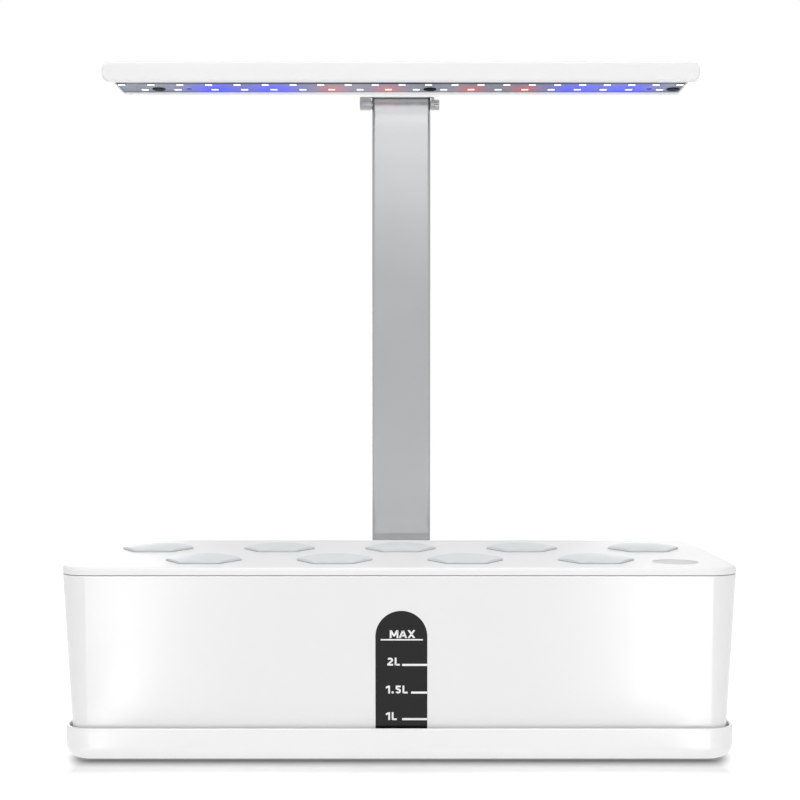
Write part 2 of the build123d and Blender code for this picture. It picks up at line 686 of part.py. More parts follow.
def lamp_bracket():
    left = -CHEEK_IN - LEFT_CHEEK_T
    right = CHEEK_IN + RIGHT_CHEEK_T
    body = cheek(left, -CHEEK_IN) + cheek(CHEEK_IN, right)
    body += block(left, right, LAMP_BACK, PLATE_BACK, LAMP_BOTTOM + 2 * SEAT_GAP, LAMP_BOTTOM + CHEEK_RISE)
    pivot_end = -CHEEK_IN + PIVOT_L
    body += rod_x(-CHEEK_IN, pivot_end, AXIS_Y, AXIS_Z, PIVOT_R)
    bore = LEAD_R + SEAT_GAP
    body -= rod_x(-CHEEK_IN, pivot_end, AXIS_Y, AXIS_Z, bore)
    body -= lead(lamp_lead_route(), bore, LEAD_CHEEK_BEND)
    body -= rod_x(CHEEK_IN, right, AXIS_Y, AXIS_Z, PIN_R + RUN_GAP)
    screw_z = LAMP_BOTTOM + BRACKET_SCREW_UP
    for x in BRACKET_SCREW_X:
        body -= countersunk_screw((x, PLATE_BACK, screw_z), BACKWARD, PLATE_T, BRACKET_HEAD_R, RUN_GAP)
    return body


def bracket_screws():
    z = LAMP_BOTTOM + BRACKET_SCREW_UP
    return group(countersunk_screw((x, PLATE_BACK, z), BACKWARD, BRACKET_SCREW_L, BRACKET_HEAD_R)
                 for x in BRACKET_SCREW_X)


def hinge_washers():
    start = POLE_W / 2 + 2 * RUN_GAP
    washers = []
    for x0, x1, hole_r in ((-CHEEK_IN, -start, PIVOT_R + RUN_GAP), (start, CHEEK_IN, PIN_R + RUN_GAP)):
        washers.append(rod_x(x0, x1, AXIS_Y, AXIS_Z, WASHER_R) - rod_x(x0, x1, AXIS_Y, AXIS_Z, hole_r))
    return group(washers)


def hinge_knob():
    face = CHEEK_IN + RIGHT_CHEEK_T + SEAT_GAP
    knob = rod_x(face, face + KNOB_T, AXIS_Y, AXIS_Z, KNOB_R)
    crown = face + KNOB_T
    knob = fillet(knob.edges().filter_by_position(Axis.X, crown - 0.01, crown + 0.01), KNOB_ROUND)
    for i in range(KNOB_FLUTES):
        a = 2 * math.pi * i / KNOB_FLUTES
        y = AXIS_Y + (KNOB_R + KNOB_FLUTE_R / 2) * math.cos(a)
        z = AXIS_Z + (KNOB_R + KNOB_FLUTE_R / 2) * math.sin(a)
        knob -= rod_x(face, face + KNOB_T, y, z, KNOB_FLUTE_R)
    tip = POLE_W / 2 - POLE_WALL - PIN_DEPTH + SEAT_GAP
    return knob + rod_x(tip, face, AXIS_Y, AXIS_Z, PIN_R)


# ---- lamp -----------------------------------------------------------------------------------
def front_led_y():
    return LAMP_FRONT + FRONT_ROW_IN


def rear_led_y():
    return LAMP_FRONT + FRONT_ROW_IN + LED_ROW_STEP


def graded_row(start, end, count, ratio):
    last = 2 * (end - start) / (count - 1) / (1 + ratio)
    change = last * (1 - ratio) / (count - 2)
    return [start + i * ratio * last + change * i * (i - 1) / 2 for i in range(count)]


def front_led_xs():
    end = LAMP_W / 2 - FRONT_LED_IN
    return graded_row(-end, end, FRONT_LEDS, FRONT_PITCH_RATIO)


def rear_run_xs():
    left_in, right_in = REAR_RUN_IN
    return graded_row(left_in - LAMP_W / 2, LAMP_W / 2 - right_in, REAR_RUN_LEDS, REAR_PITCH_RATIO)


def rear_led_xs():
    left = [inset - LAMP_W / 2 for inset in REAR_LEFT_IN]
    return left + rear_run_xs() + [LAMP_W / 2 - REAR_RIGHT_IN]


def board_screw_places():
    run = rear_run_xs()
    middle = (run[REAR_RUN_LEDS // 2 - 1] + run[REAR_RUN_LEDS // 2]) / 2
    return [BOARD_SCREW_IN[0] - LAMP_W / 2, middle, LAMP_W / 2 - BOARD_SCREW_IN[1]]


def board_hole_places():
    return [BOARD_HOLE_IN[0] - LAMP_W / 2, LAMP_W / 2 - BOARD_HOLE_IN[1]]


def lamp_housing():
    outline = RectangleRounded(LAMP_W, LAMP_H, LAMP_END_R)
    body = Pos(0, LAMP_BACK, (LAMP_BOTTOM + LAMP_TOP) / 2) * extrude(Plane.XZ * outline, LAMP_D)
    for y in (LAMP_FRONT, LAMP_BACK):
        body = fillet(body.edges().filter_by_position(Axis.Y, y - 0.01, y + 0.01), LAMP_EDGE)
    half = LAMP_W / 2 - LAMP_END_WALL
    front = LAMP_FRONT + LAMP_FRONT_WALL
    rear = LAMP_BACK - LAMP_REAR_RAIL
    roof = LAMP_TOP - LAMP_SKIN
    body -= block(-half, half, front, rear, LAMP_BOTTOM, roof)
    for x in board_screw_places():
        body += rod_z(x, rear_led_y(), BOARD_TOP, roof, BOARD_BOSS_R)
        body -= rod_z(x, rear_led_y(), BOARD_TOP, roof, SCREW_R + RUN_GAP)
    route = lamp_lead_route()
    body -= rod_y(route[2][0], rear, LAMP_BACK, route[2][2], LEAD_R + SEAT_GAP)
    for x in BRACKET_SCREW_X:
        screw_z = LAMP_BOTTOM + BRACKET_SCREW_UP
        body -= rod_y(x, PLATE_BACK - BRACKET_SCREW_L, LAMP_BACK, screw_z, SCREW_R + RUN_GAP)
    return body


def led_board():
    half = LAMP_W / 2 - LAMP_END_WALL - BOARD_GAP
    front = LAMP_FRONT + LAMP_FRONT_WALL + BOARD_GAP
    rear = LAMP_BACK - LAMP_REAR_RAIL - BOARD_GAP
    body = block(-half, half, front, rear, BOARD_BOTTOM, BOARD_TOP)
    for x in board_screw_places():
        body -= rod_z(x, rear_led_y(), BOARD_BOTTOM, BOARD_TOP, SCREW_R + RUN_GAP)
    for x in board_hole_places():
        body -= rod_z(x, rear_led_y(), BOARD_BOTTOM, BOARD_TOP, BOARD_HOLE_R)
    route = lamp_lead_route()
    x, y, z = route[3]
    return body + block(x - DRIVER_W / 2, x + DRIVER_W / 2, y - DRIVER_D, y, BOARD_TOP, z + LEAD_R)


def leds(places):
    solids = []
    low = BOARD_BOTTOM - LED_T
    for x, y in places:
        solids.append(block(x - LED_W / 2, x + LED_W / 2, y - LED_D / 2, y + LED_D / 2, low, BOARD_BOTTOM))
    return group(solids)


def led_places():
    white = [(x, front_led_y()) for x in front_led_xs()]
    red = []
    blue = []
    for i, x in enumerate(rear_led_xs()):
        (red if i in RED_PLACES else blue if i in BLUE_PLACES else white).append((x, rear_led_y()))
    return white, red, blue


def board_screws():
    screws = []
    for x in board_screw_places():
        head = rod_z(x, rear_led_y(), BOARD_BOTTOM - LED_T, BOARD_BOTTOM, BOARD_SCREW_R)
        head = fillet(level_edges(head, BOARD_BOTTOM - LED_T), LED_T / 3)
        screws.append(head + rod_z(x, rear_led_y(), BOARD_BOTTOM, LAMP_TOP - LAMP_SKIN - RUN_GAP, SCREW_R))
    return group(screws)


# ---- controls -------------------------------------------------------------------------------
def power_button():
    flange_top, flange_low, nub_low, _ = button_levels()
    y = button_y()
    top = HOUSING_TOP + BUTTON_PROUD
    cap = rod_z(BUTTON_X, y, flange_low, top, BUTTON_R)
    cap = fillet(level_edges(cap, top), BUTTON_ROUND)
    cap += rod_z(BUTTON_X, y, flange_low, flange_top, BUTTON_FLANGE_R)
    return cap + rod_z(BUTTON_X, y, nub_low, flange_low, BUTTON_NUB_R)


def power_switch():
    y = button_y()
    top = button_levels()[3]
    half = SWITCH_SIZE / 2
    body = block(BUTTON_X - half, BUTTON_X + half, y - half, y + half, top - SWITCH_H, top - SWITCH_NUB_H)
    return body + rod_z(BUTTON_X, y, top - SWITCH_NUB_H, top, BUTTON_NUB_R)


def control_board():
    x0 = JACK_X - CIRCUIT_W / 2
    x1 = JACK_X + CIRCUIT_W / 2
    low, high = CIRCUIT_Z
    back = CIRCUIT_FRONT + CIRCUIT_T
    body = block(x0, x1, CIRCUIT_FRONT, back, low, high)
    half = SOCKET_SIZE / 2
    body += block(PUMP_LEAD_X - half, PUMP_LEAD_X + half, PUMP_LEAD_END, CIRCUIT_FRONT, PUMP_LEAD_Z - half,
                  PUMP_LEAD_Z + half)
    socket_x = x0 + PEG_IN
    socket_y = AXIS_Y - LEAD_R - BODY_GAP
    body += block(socket_x, socket_x + SOCKET_SIZE, socket_y, CIRCUIT_FRONT, LEAD_Z - half, LEAD_Z + half)
    chip = CHIP_SIZE / 2
    middle = (low + high) / 2
    chip_y = CIRCUIT_FRONT - CHIP_T
    body += block(JACK_X - chip, JACK_X + chip, chip_y, CIRCUIT_FRONT, middle - chip, middle + chip)
    return body + rod_y(JACK_X, back, back + CAPACITOR_H, middle, CAPACITOR_R)


def dc_jack():
    half = JACK_BODY / 2
    wall_in = POLE_BACK + SEAT_GAP
    face = HOUSING_BACK - SEAT_GAP
    body = block(JACK_X - half, JACK_X + half, POLE_FRONT + SEAT_GAP, wall_in, JACK_Z - half, JACK_Z + half)
    body += rod_y(JACK_X, wall_in, face, JACK_Z, JACK_NOSE_R)
    body -= rod_y(JACK_X, face - JACK_BORE_DEPTH, face, JACK_Z, JACK_BORE_R)
    return body + rod_y(JACK_X, face - JACK_BORE_DEPTH, face - JACK_PIN_IN, JACK_Z, JACK_PIN_R)


# ---- pump -----------------------------------------------------------------------------------
def pump_axis_z():
    return PUMP_Z + PUMP_H / 2


def pump_body():
    middle = PUMP_Y + PUMP_D / 2
    top = PUMP_Z + PUMP_H
    body = rounded_slab(PUMP_W, PUMP_D, PUMP_R, PUMP_Z, top, x=PUMP_X, y=middle)
    body = fillet(level_edges(body, top), PUMP_EDGE)
    z = pump_axis_z()
    chamber = IMPELLER_T + 2 * ROTOR_GAP
    nozzle_y = PUMP_Y + NOZZLE_R + PUMP_R / 2
    body += rod_z(PUMP_X, nozzle_y, top - PUMP_EDGE, top + NOZZLE_H, NOZZLE_R)
    body -= rod_y(PUMP_X, PUMP_Y, PUMP_Y + chamber, z, IMPELLER_R + ROTOR_GAP)
    body -= rod_y(PUMP_X, PUMP_Y + chamber, PUMP_Y + chamber + ROTOR_L + ROTOR_GAP, z, ROTOR_R + ROTOR_GAP)
    shaft_end = PUMP_Y + chamber + ROTOR_L + ROTOR_GAP + SHAFT_SEAT
    body -= rod_y(PUMP_X, PUMP_Y, shaft_end, z, SHAFT_R + SHAFT_SEAT_GAP)
    body -= rod_z(PUMP_X, nozzle_y, z, top + NOZZLE_H, NOZZLE_BORE_R)
    return body


def pump_cover():
    y0 = PUMP_Y - PUMP_COVER_T
    half = PUMP_W / 2
    body = block(PUMP_X - half, PUMP_X + half, y0, PUMP_Y, PUMP_Z, PUMP_Z + PUMP_H)
    body = fillet(body.edges().filter_by(Axis.Y), PUMP_R)
    z = pump_axis_z()
    inner = half - PUMP_COVER_SKIN
    body -= block(PUMP_X - inner, PUMP_X + inner, y0 + PUMP_COVER_SKIN, PUMP_Y, z - inner, z + inner)
    body += rod_y(PUMP_X, y0 + PUMP_COVER_SKIN, PUMP_Y - ROTOR_GAP, z, SHAFT_BOSS_R)
    body -= rod_y(PUMP_X, y0 + PUMP_COVER_SKIN, PUMP_Y, z, SHAFT_R + SHAFT_SEAT_GAP)
    for i in range(INTAKE_SLOTS):
        x = PUMP_X + (i - (INTAKE_SLOTS - 1) / 2) * INTAKE_PITCH
        for side in (-1, 1):
            mid = z + side * INTAKE_MID
            body -= block(x - INTAKE_W / 2, x + INTAKE_W / 2, y0, y0 + PUMP_COVER_SKIN, mid - INTAKE_L / 2,
                          mid + INTAKE_L / 2)
    return body


def impeller():
    z = pump_axis_z()
    y0 = PUMP_Y + ROTOR_GAP
    y1 = y0 + IMPELLER_T
    body = rod_y(PUMP_X, y1 - BLADE_T, y1, z, IMPELLER_R)
    body += rod_y(PUMP_X, y0, y1 + ROTOR_L, z, SHAFT_BOSS_R)
    blade = block(0, IMPELLER_R, y0, y1, -BLADE_T / 2, BLADE_T / 2)
    for i in range(BLADES):
        body += Pos(PUMP_X, 0, z) * Rot(0, i * 360 / BLADES, 0) * blade
    body &= rod_y(PUMP_X, y0, y1 + ROTOR_L, z, IMPELLER_R)
    body += rod_y(PUMP_X, y1, y1 + ROTOR_L, z, ROTOR_R)
    return body - rod_y(PUMP_X, y0, y1 + ROTOR_L, z, SHAFT_R + RUN_GAP)


def impeller_shaft():
    y0 = PUMP_Y - PUMP_COVER_T + PUMP_COVER_SKIN
    y1 = PUMP_Y + IMPELLER_T + 3 * ROTOR_GAP + ROTOR_L + SHAFT_SEAT
    return rod_y(PUMP_X, y0, y1, pump_axis_z(), SHAFT_R)


def pump_lead():
    start = (PUMP_LEAD_X, PUMP_LEAD_Y, PUMP_Z + PUMP_H)
    corner = (PUMP_LEAD_X, PUMP_LEAD_Y, PUMP_LEAD_Z)
    end = (PUMP_LEAD_X, PUMP_LEAD_END, PUMP_LEAD_Z)
    return lead([start, corner, end], PUMP_LEAD_R, PUMP_LEAD_BEND)


def lead_grommet():
    def ring(r, inset, thickness):
        return rod_y(PUMP_LEAD_X, 0, DECK_D, PUMP_LEAD_Z, r) & tank_layer(inset, thickness)

    body = ring(GROMMET_R - RUN_GAP, 0, TANK_WALL)
    body += ring(GROMMET_R + GROMMET_RIM, TANK_WALL, GROMMET_INSIDE_T)
    body += ring(GROMMET_R + GROMMET_RIM / 2, -GROMMET_FLANGE, GROMMET_FLANGE)
    return body - rod_y(PUMP_LEAD_X, 0, DECK_D, PUMP_LEAD_Z, PUMP_LEAD_R + RUN_GAP)


def pole_lead():
    return lead(pole_lead_route(), LEAD_R, (LEAD_FOOT_BEND, LEAD_BEND))


def lamp_lead():
    return lead(lamp_lead_route(), LEAD_R, LEAD_CHEEK_BEND)


# ---- all of it ------------------------------------------------------------------------------
def all_parts():
    white, red, blue = led_places()
    parts = {
        "drip_tray": drip_tray(),
        "tray_feet": tray_feet(),
        "water_tank": water_tank(),
        "level_window": level_window(),
        "deck": deck(),
        "rear_housing": rear_housing(),
        "housing_cover": housing_cover(),
        "housing_screws": housing_screws(),
        "pole": pole(),
        "pole_screws": pole_screws(),
        "pole_plug": pole_plug(),
        "pole_lead": pole_lead(),
        "lamp_bracket": lamp_bracket(),
        "bracket_screws": bracket_screws(),
        "hinge_washers": hinge_washers(),
        "hinge_knob": hinge_knob(),
        "lamp_housing": lamp_housing(),
        "led_board": led_board(),
        "leds_white": leds(white),
        "leds_red": leds(red),
        "leds_blue": leds(blue),
        "board_screws": board_screws(),
        "lamp_lead": lamp_lead(),
        "power_button": power_button(),
        "power_switch": power_switch(),
        "control_board": control_board(),
        "dc_jack": dc_jack(),
        "pump_body": pump_body(),
        "pump_cover": pump_cover(),
        "impeller": impeller(),
        "impeller_shaft": impeller_shaft(),
        "pump_lead": pump_lead(),
        "lead_grommet": lead_grommet(),
    }
    basket = pod_basket()
    sponge = pod_sponge()
    cap = pod_cap()
    for number, (x, y) in enumerate(pod_places(), 1):
        parts[f"pod_basket_{number}"] = Pos(x, y, 0) * basket
        parts[f"pod_sponge_{number}"] = Pos(x, y, 0) * sponge
        parts[f"pod_cap_{number}"] = Pos(x, y, 0) * cap
    return parts


os.makedirs("parts", exist_ok=True)
for name, part in all_parts().items():
    placed = Pos(0, -WHOLE_SHIFT, 0) * part
    export_step(placed, f"parts/{name}.step")
    print(name, round(placed.volume, 1))
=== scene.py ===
# %% [markdown]
# # A countertop hydroponic garden: light, finish and print
# The rigid pieces come from a CAD model that this file loads and never changes. What is left to make
# here is what a finisher and a studio add: the surface of every plastic and metal, the printed level
# marks, the glowing diodes, and plain soft light on white.

# %% Load the fixed model
import json
import math

import bmesh
import bpy
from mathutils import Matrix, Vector


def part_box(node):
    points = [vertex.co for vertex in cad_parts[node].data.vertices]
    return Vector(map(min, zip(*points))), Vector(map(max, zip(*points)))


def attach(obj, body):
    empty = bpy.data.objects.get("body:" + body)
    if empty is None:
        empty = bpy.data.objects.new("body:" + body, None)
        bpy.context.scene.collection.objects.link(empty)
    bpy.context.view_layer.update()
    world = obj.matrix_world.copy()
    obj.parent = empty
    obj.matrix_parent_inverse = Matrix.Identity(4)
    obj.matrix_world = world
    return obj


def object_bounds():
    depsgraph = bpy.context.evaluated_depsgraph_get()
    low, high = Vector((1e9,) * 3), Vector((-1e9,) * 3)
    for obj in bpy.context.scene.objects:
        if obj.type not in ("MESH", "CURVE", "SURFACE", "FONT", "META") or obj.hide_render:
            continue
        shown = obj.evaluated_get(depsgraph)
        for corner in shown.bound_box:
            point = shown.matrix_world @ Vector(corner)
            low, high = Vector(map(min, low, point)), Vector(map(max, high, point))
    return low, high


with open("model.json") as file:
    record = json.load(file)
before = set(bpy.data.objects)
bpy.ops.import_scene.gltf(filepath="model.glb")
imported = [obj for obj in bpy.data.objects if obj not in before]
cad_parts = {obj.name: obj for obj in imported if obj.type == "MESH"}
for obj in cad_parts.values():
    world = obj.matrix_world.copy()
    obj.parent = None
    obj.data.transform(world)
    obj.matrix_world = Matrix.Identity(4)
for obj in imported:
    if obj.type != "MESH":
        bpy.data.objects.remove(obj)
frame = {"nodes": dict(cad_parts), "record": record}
nodes = frame["nodes"]
cad_low, cad_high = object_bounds()
print("nodes:", len(nodes), "size in mm:", [round(1000 * side) for side in cad_high - cad_low])

# %% [markdown]
# ## Small helpers
# Sizes are thought of in millimetres and handed to Blender in metres. Colours are picked as sRGB hex
# values, the way a swatch book prints them, and Blender's sockets want linear light, so one function
# turns the first into the second. Node trees are written with one function that adds a node, sets its
# values and joins its inputs, because a material is then read from top to bottom like a recipe.

# %% Helpers
MM = 0.001


def linear(hex_colour, alpha=1.0):
    """A colour written as sRGB hex, in linear light."""
    channels = [int(hex_colour[i:i + 2], 16) / 255 for i in (1, 3, 5)]
    flat = [c / 12.92 if c <= 0.04045 else ((c + 0.055) / 1.055) ** 2.4 for c in channels]
    return (*flat, alpha)


def add_node(tree, kind, links=None, values=None, **settings):
    """Adds a node. Links and values name its inputs, and give another node's output or a number."""
    node = tree.nodes.new("ShaderNode" + kind)
    for name, value in settings.items():
        setattr(node, name, value)
    for name, value in (values or {}).items():
        node.inputs[name].default_value = value
    for name, output in (links or {}).items():
        tree.links.new(output, node.inputs[name])
    return node


print("a mid grey in linear light:", [round(c, 3) for c in linear("#808080")[:3]])

# %% [markdown]
# ## The camera
# A long, low thing is best seen from a little above the worktop with the camera level, so that
# upright edges stay upright. The object is then off the middle of the sensor, and the lens is shifted
# to bring it back, as on a view camera. The focal length and the lens's axis are written in pixels of
# an image 800 pixels wide, because that is what perspective is measured in.

# %% Camera
IMAGE_PX = 800
SENSOR_MM = 36
FOCAL_PX = 1369.5
AXIS_PX = (410.85, 404.84)
CAMERA_MM = (6.1, -800.25, 188.9)

camera_data = bpy.data.cameras.new("camera")
camera_data.sensor_width = SENSOR_MM
camera_data.lens = FOCAL_PX / IMAGE_PX * SENSOR_MM
camera_data.shift_x = (IMAGE_PX / 2 - AXIS_PX[0]) / IMAGE_PX
camera_data.shift_y = (AXIS_PX[1] - IMAGE_PX / 2) / IMAGE_PX
camera = bpy.data.objects.new("camera", camera_data)
camera.location = Vector(CAMERA_MM) * MM
camera.rotation_euler = (math.pi / 2, 0, 0)
bpy.context.scene.collection.objects.link(camera)
bpy.context.scene.camera = camera
print("lens in mm:", round(camera_data.lens, 1))

# %% [markdown]
# ## A white studio
# The ground is pure white. Lighting a floor until it clips would also bleach the object, so the white
# is given to some rays alone: the world shows white where the camera, a glossy reflection or clear
# plastic looks at it, and lights the object at a plain level. Blender's Light Path node tells these
# rays apart.

# %% World
WORLD_LEVEL = 0.54
WHITE_LEVEL = 1.0


def empty_tree(thing):
    thing.use_nodes = True
    thing.node_tree.nodes.clear()
    return thing.node_tree


def seen_directly(tree):
    """1 for a camera ray, a mirror image or a look through clear plastic, and 0 for bounced light."""
    path = add_node(tree, "LightPath")
    seen = add_node(tree, "Math", {0: path.outputs["Is Camera Ray"], 1: path.outputs["Is Glossy Ray"]},
                    operation="MAXIMUM")
    return add_node(tree, "Math", {0: seen.outputs[0], 1: path.outputs["Is Transmission Ray"]},
                    operation="MAXIMUM").outputs[0]


bpy.context.scene.view_settings.view_transform = "Standard"
world = bpy.data.worlds.new("studio_world")
bpy.context.scene.world = world
tree = empty_tree(world)
plain = add_node(tree, "Background", values={"Color": linear("#FFFFFF"), "Strength": WORLD_LEVEL})
white = add_node(tree, "Background", values={"Color": linear("#FFFFFF"), "Strength": WHITE_LEVEL})
shown = add_node(tree, "MixShader", {0: seen_directly(tree), 1: plain.outputs[0], 2: white.outputs[0]})
add_node(tree, "OutputWorld", {"Surface": shown.outputs[0]})
print("the world lights at", WORLD_LEVEL, "and shows at", WHITE_LEVEL)

# %% [markdown]
# ## The floor's paper
# The floor is a wide sheet of seamless white paper: matt, with a fibre grain so fine that it is only
# a slight unevenness. It keeps a diffuse part, so the object's shadow falls on it. Within a centimetre
# of the feet and the tray little light gets in, and an ambient occlusion node darkens the paper there.
# Only the camera sees that shade, so mirror images and bounced light take an even floor.

# %% The floor's paper
FIBRE_SCALE = 900.0
CONTACT_MM = 10

floor_paper = bpy.data.materials.new("seamless_white_paper")
tree = empty_tree(floor_paper)
fibre = add_node(tree, "TexNoise", values={"Scale": FIBRE_SCALE, "Detail": 3.0})
paper_tint = add_node(tree, "MixRGB", {0: fibre.outputs[0]},
                      {1: linear("#F1F1F1"), 2: linear("#F4F4F4")})
camera_ray = add_node(tree, "LightPath").outputs["Is Camera Ray"]
openness = add_node(tree, "AmbientOcclusion", values={"Distance": CONTACT_MM * MM}, samples=16)
contact = add_node(tree, "MapRange", {"Value": camera_ray, "To Max": openness.outputs["AO"]},
                   {"To Min": 1.0})
paper_seen = add_node(tree, "MixRGB", {0: contact.outputs[0], 2: paper_tint.outputs[0]},
                      {1: linear("#6A6A6A")})
diffuse = add_node(tree, "BsdfDiffuse", {"Color": paper_seen.outputs[0]})
print("contact shade reaches", CONTACT_MM, "mm")

# %% [markdown]
# ## The floor's glow, and the shadow's soft edge
# A glow lifts the lit paper to pure white for the rays that see it directly, and is weaker as light on
# the object. Under the object and close before and behind it the camera's share of the glow is held
# back, and it fades in over three centimetres, so the shadow ends softly and not at the line where the
# lamps' own shadow stops. At the ends of the tray it comes in sooner, because light enters there from
# the side. In the thin gap under the tray a little more of it is left. All of this is worked out from
# the object's outline, so it lies on the floor and looks the same from every side.

# %% The floor's glow
# The glow as matt surfaces receive it, and as the camera and mirror images see it.
FLOOR_GLOW = 0.2
FLOOR_LIFT = 0.6
# Where the camera's share of it starts and ends, outside the outline along Y and inside it along X.
SHADE_MM = (7, 39)
SIDE_MM = 14
# The share left in the shadow, and the larger one in the gap between two distances inside the outline.
UNDER_LIFT = 0.03
GAP_MM = (-10.4, -8.0)
GAP_LIFT = 0.32


def distances_from(tree, middle):
    """How far the shaded point is from middle, along each axis."""
    place = add_node(tree, "TexCoord").outputs["Object"]
    offset = add_node(tree, "VectorMath", {0: place}, {1: tuple(middle)}, operation="SUBTRACT")
    apart = add_node(tree, "VectorMath", {0: offset.outputs[0]}, operation="ABSOLUTE")
    return add_node(tree, "SeparateXYZ", {0: apart.outputs[0]})


half_size = (cad_high - cad_low) / 2
centre = (cad_high + cad_low) / 2
sides = distances_from(tree, (centre.x, centre.y, 0))
outside_x = add_node(tree, "Math", {0: sides.outputs["X"]}, {1: half_size.x}, operation="SUBTRACT")
outside_y = add_node(tree, "Math", {0: sides.outputs["Y"]}, {1: half_size.y}, operation="SUBTRACT")
rise_x = add_node(tree, "MapRange", {"Value": outside_x.outputs[0]},
                  {"From Min": -SIDE_MM * MM, "From Max": 0.0, "To Min": UNDER_LIFT, "To Max": 1.0},
                  interpolation_type="SMOOTHSTEP")
rise_y = add_node(tree, "MapRange", {"Value": outside_y.outputs[0]},
                  {"From Min": SHADE_MM[0] * MM, "From Max": SHADE_MM[1] * MM,
                   "To Min": UNDER_LIFT, "To Max": 1.0},
                  interpolation_type="SMOOTHSTEP")
beneath = add_node(tree, "MapRange", {"Value": outside_y.outputs[0]},
                   {"From Min": GAP_MM[0] * MM, "From Max": GAP_MM[1] * MM,
                    "To Min": GAP_LIFT, "To Max": 0.0})
rise_out = add_node(tree, "Math", {0: rise_x.outputs[0], 1: rise_y.outputs[0]}, operation="MAXIMUM")
rise = add_node(tree, "Math", {0: rise_out.outputs[0], 1: beneath.outputs[0]}, operation="MAXIMUM")
level = add_node(tree, "MapRange", {"Value": seen_directly(tree)},
                 {"To Min": FLOOR_GLOW, "To Max": FLOOR_LIFT})
fade = add_node(tree, "MapRange", {"Value": camera_ray, "To Max": rise.outputs[0]}, {"To Min": 1.0})
lift = add_node(tree, "Math", {0: level.outputs[0], 1: fade.outputs[0]}, operation="MULTIPLY")
glow = add_node(tree, "Emission", {"Strength": lift.outputs[0]}, {"Color": linear("#FFFFFF")})
both = add_node(tree, "AddShader", {0: diffuse.outputs[0], 1: glow.outputs[0]})
add_node(tree, "OutputMaterial", {"Surface": both.outputs[0]})
print("the shadow fades over", SHADE_MM[1] - SHADE_MM[0], "mm")

# %% [markdown]
# ## The floor
# The floor is one flat square, wide enough that its edge is never in view.

# %% The floor
FLOOR_SIZE = 9.0

floor_mesh = bpy.data.meshes.new("floor")
floor_form = bmesh.new()
bmesh.ops.create_grid(floor_form, x_segments=1, y_segments=1, size=FLOOR_SIZE / 2)
floor_form.to_mesh(floor_mesh)
floor_form.free()
floor_mesh.materials.append(floor_paper)
floor = bpy.data.objects.new("floor", floor_mesh)
bpy.context.scene.collection.objects.link(floor)
print("floor in metres:", FLOOR_SIZE, "by", FLOOR_SIZE)

# %% [markdown]
# ## Two softboxes
# Two broad soft lamps light the object: one in front, high enough that only the top of the pole
# mirrors it, and one overhead. Broad lamps give soft shadows, and the white world fills the rest.
# Their strength is written as a radiance, which is how bright a lamp looks, because that is what a
# mirror image shows whatever the lamp's size. Blender wants watts, and an area lamp of radiance 1
# gives pi watts per square metre.

# %% Two softboxes
SOFTBOX_RADIANCE = 1.55
OVERHEAD_RADIANCE = 1.25
FACING_DOWN = (0, 0, 0)
FACING_UP = (math.pi, 0, 0)
FACING_FRONT = (-math.pi / 2, 0, 0)


def area_light(name, middle_mm, turn, width_mm, length_mm, radiance):
    data = bpy.data.lights.new(name, "AREA")
    data.shape = "RECTANGLE"
    data.size = width_mm * MM
    data.size_y = length_mm * MM
    data.energy = radiance * math.pi * data.size * data.size_y
    lamp = bpy.data.objects.new(name, data)
    lamp.location = Vector(middle_mm) * MM
    lamp.rotation_euler = turn
    lamp.visible_camera = False
    bpy.context.scene.collection.objects.link(lamp)
    return lamp


def aimed(from_mm, to_mm):
    return (Vector(to_mm) - Vector(from_mm)).to_track_quat("-Z", "Y").to_euler()


softbox_mm = (0, -940, 915)
area_light("softbox_front", softbox_mm, aimed(softbox_mm, (0, 0, 200)),
           width_mm=1400, length_mm=740, radiance=SOFTBOX_RADIANCE)
area_light("softbox_overhead", (0, 60, 1300), FACING_DOWN,
           width_mm=1100, length_mm=600, radiance=OVERHEAD_RADIANCE)

# %% [markdown]
# ## Lamps that only reflections show
# Glossy white plastic shows its form through slow changes of brightness, and a metal strip shows
# nothing but what stands round it. These lamps stand where one face mirrors them, as a studio's strips
# and reflectors do, and they add no light to a matt surface.
#
# - Strips on the table run away from the object, left and right of the camera's line. The leaning
#   front wall mirrors them as soft upright bands near its ends. The wall's gloss spreads the image of
#   a far part more than that of a near part, so the far parts are brighter. Two short strips close to
#   the tray do the same for its upright wall.
# - Two panels behind the object show in the ends of the deck's top, which is seen almost edge-on.
# - A long strip high in front gives the rounded edges of the deck and the tray a thin bright line.
# - Three small panels show in the pole: under the lamp, in front of it, and on the deck at its foot.

# %% Lamps that only reflections show
# Each strip on the table: its near end and its far end (X, Y), its width and its radiance.
TABLE_STRIPS = {
    "left_near": ((-162, -150), (-193, -300), 22, 5.5),
    "left_mid": ((-193, -300), (-238, -520), 30, 8.5),
    "left_far": ((-238, -520), (-337, -1000), 44, 11.0),
    "left_soft": ((-138, -150), (-204, -520), 44, 0.9),
    "left_soft_far": ((-204, -520), (-286, -1000), 80, 1.1),
    "right_near": ((160, -150), (190, -300), 54, 5.0),
    "right_mid": ((190, -300), (235, -520), 60, 7.0),
    "right_far": ((235, -520), (332, -1000), 90, 8.5),
    "right_soft": ((116, -150), (171, -520), 40, 0.9),
    "left_tray": ((-161, -92), (-174, -150), 14, 3.8),
    "right_tray": ((160, -92), (173, -150), 14, 4.6),
}
STRIP_Z_MM = 2
# Each panel behind, by its side: how far out its middle is, its width and its radiance.
BACK_PANELS = {-1: (320, 120, 4.4), 1: (285, 170, 2.2)}
BACK_Y_MM, BACK_Z_MM = 700, 190
BACK_PANEL_H_MM = 230
EDGE_RADIANCE = 24.0
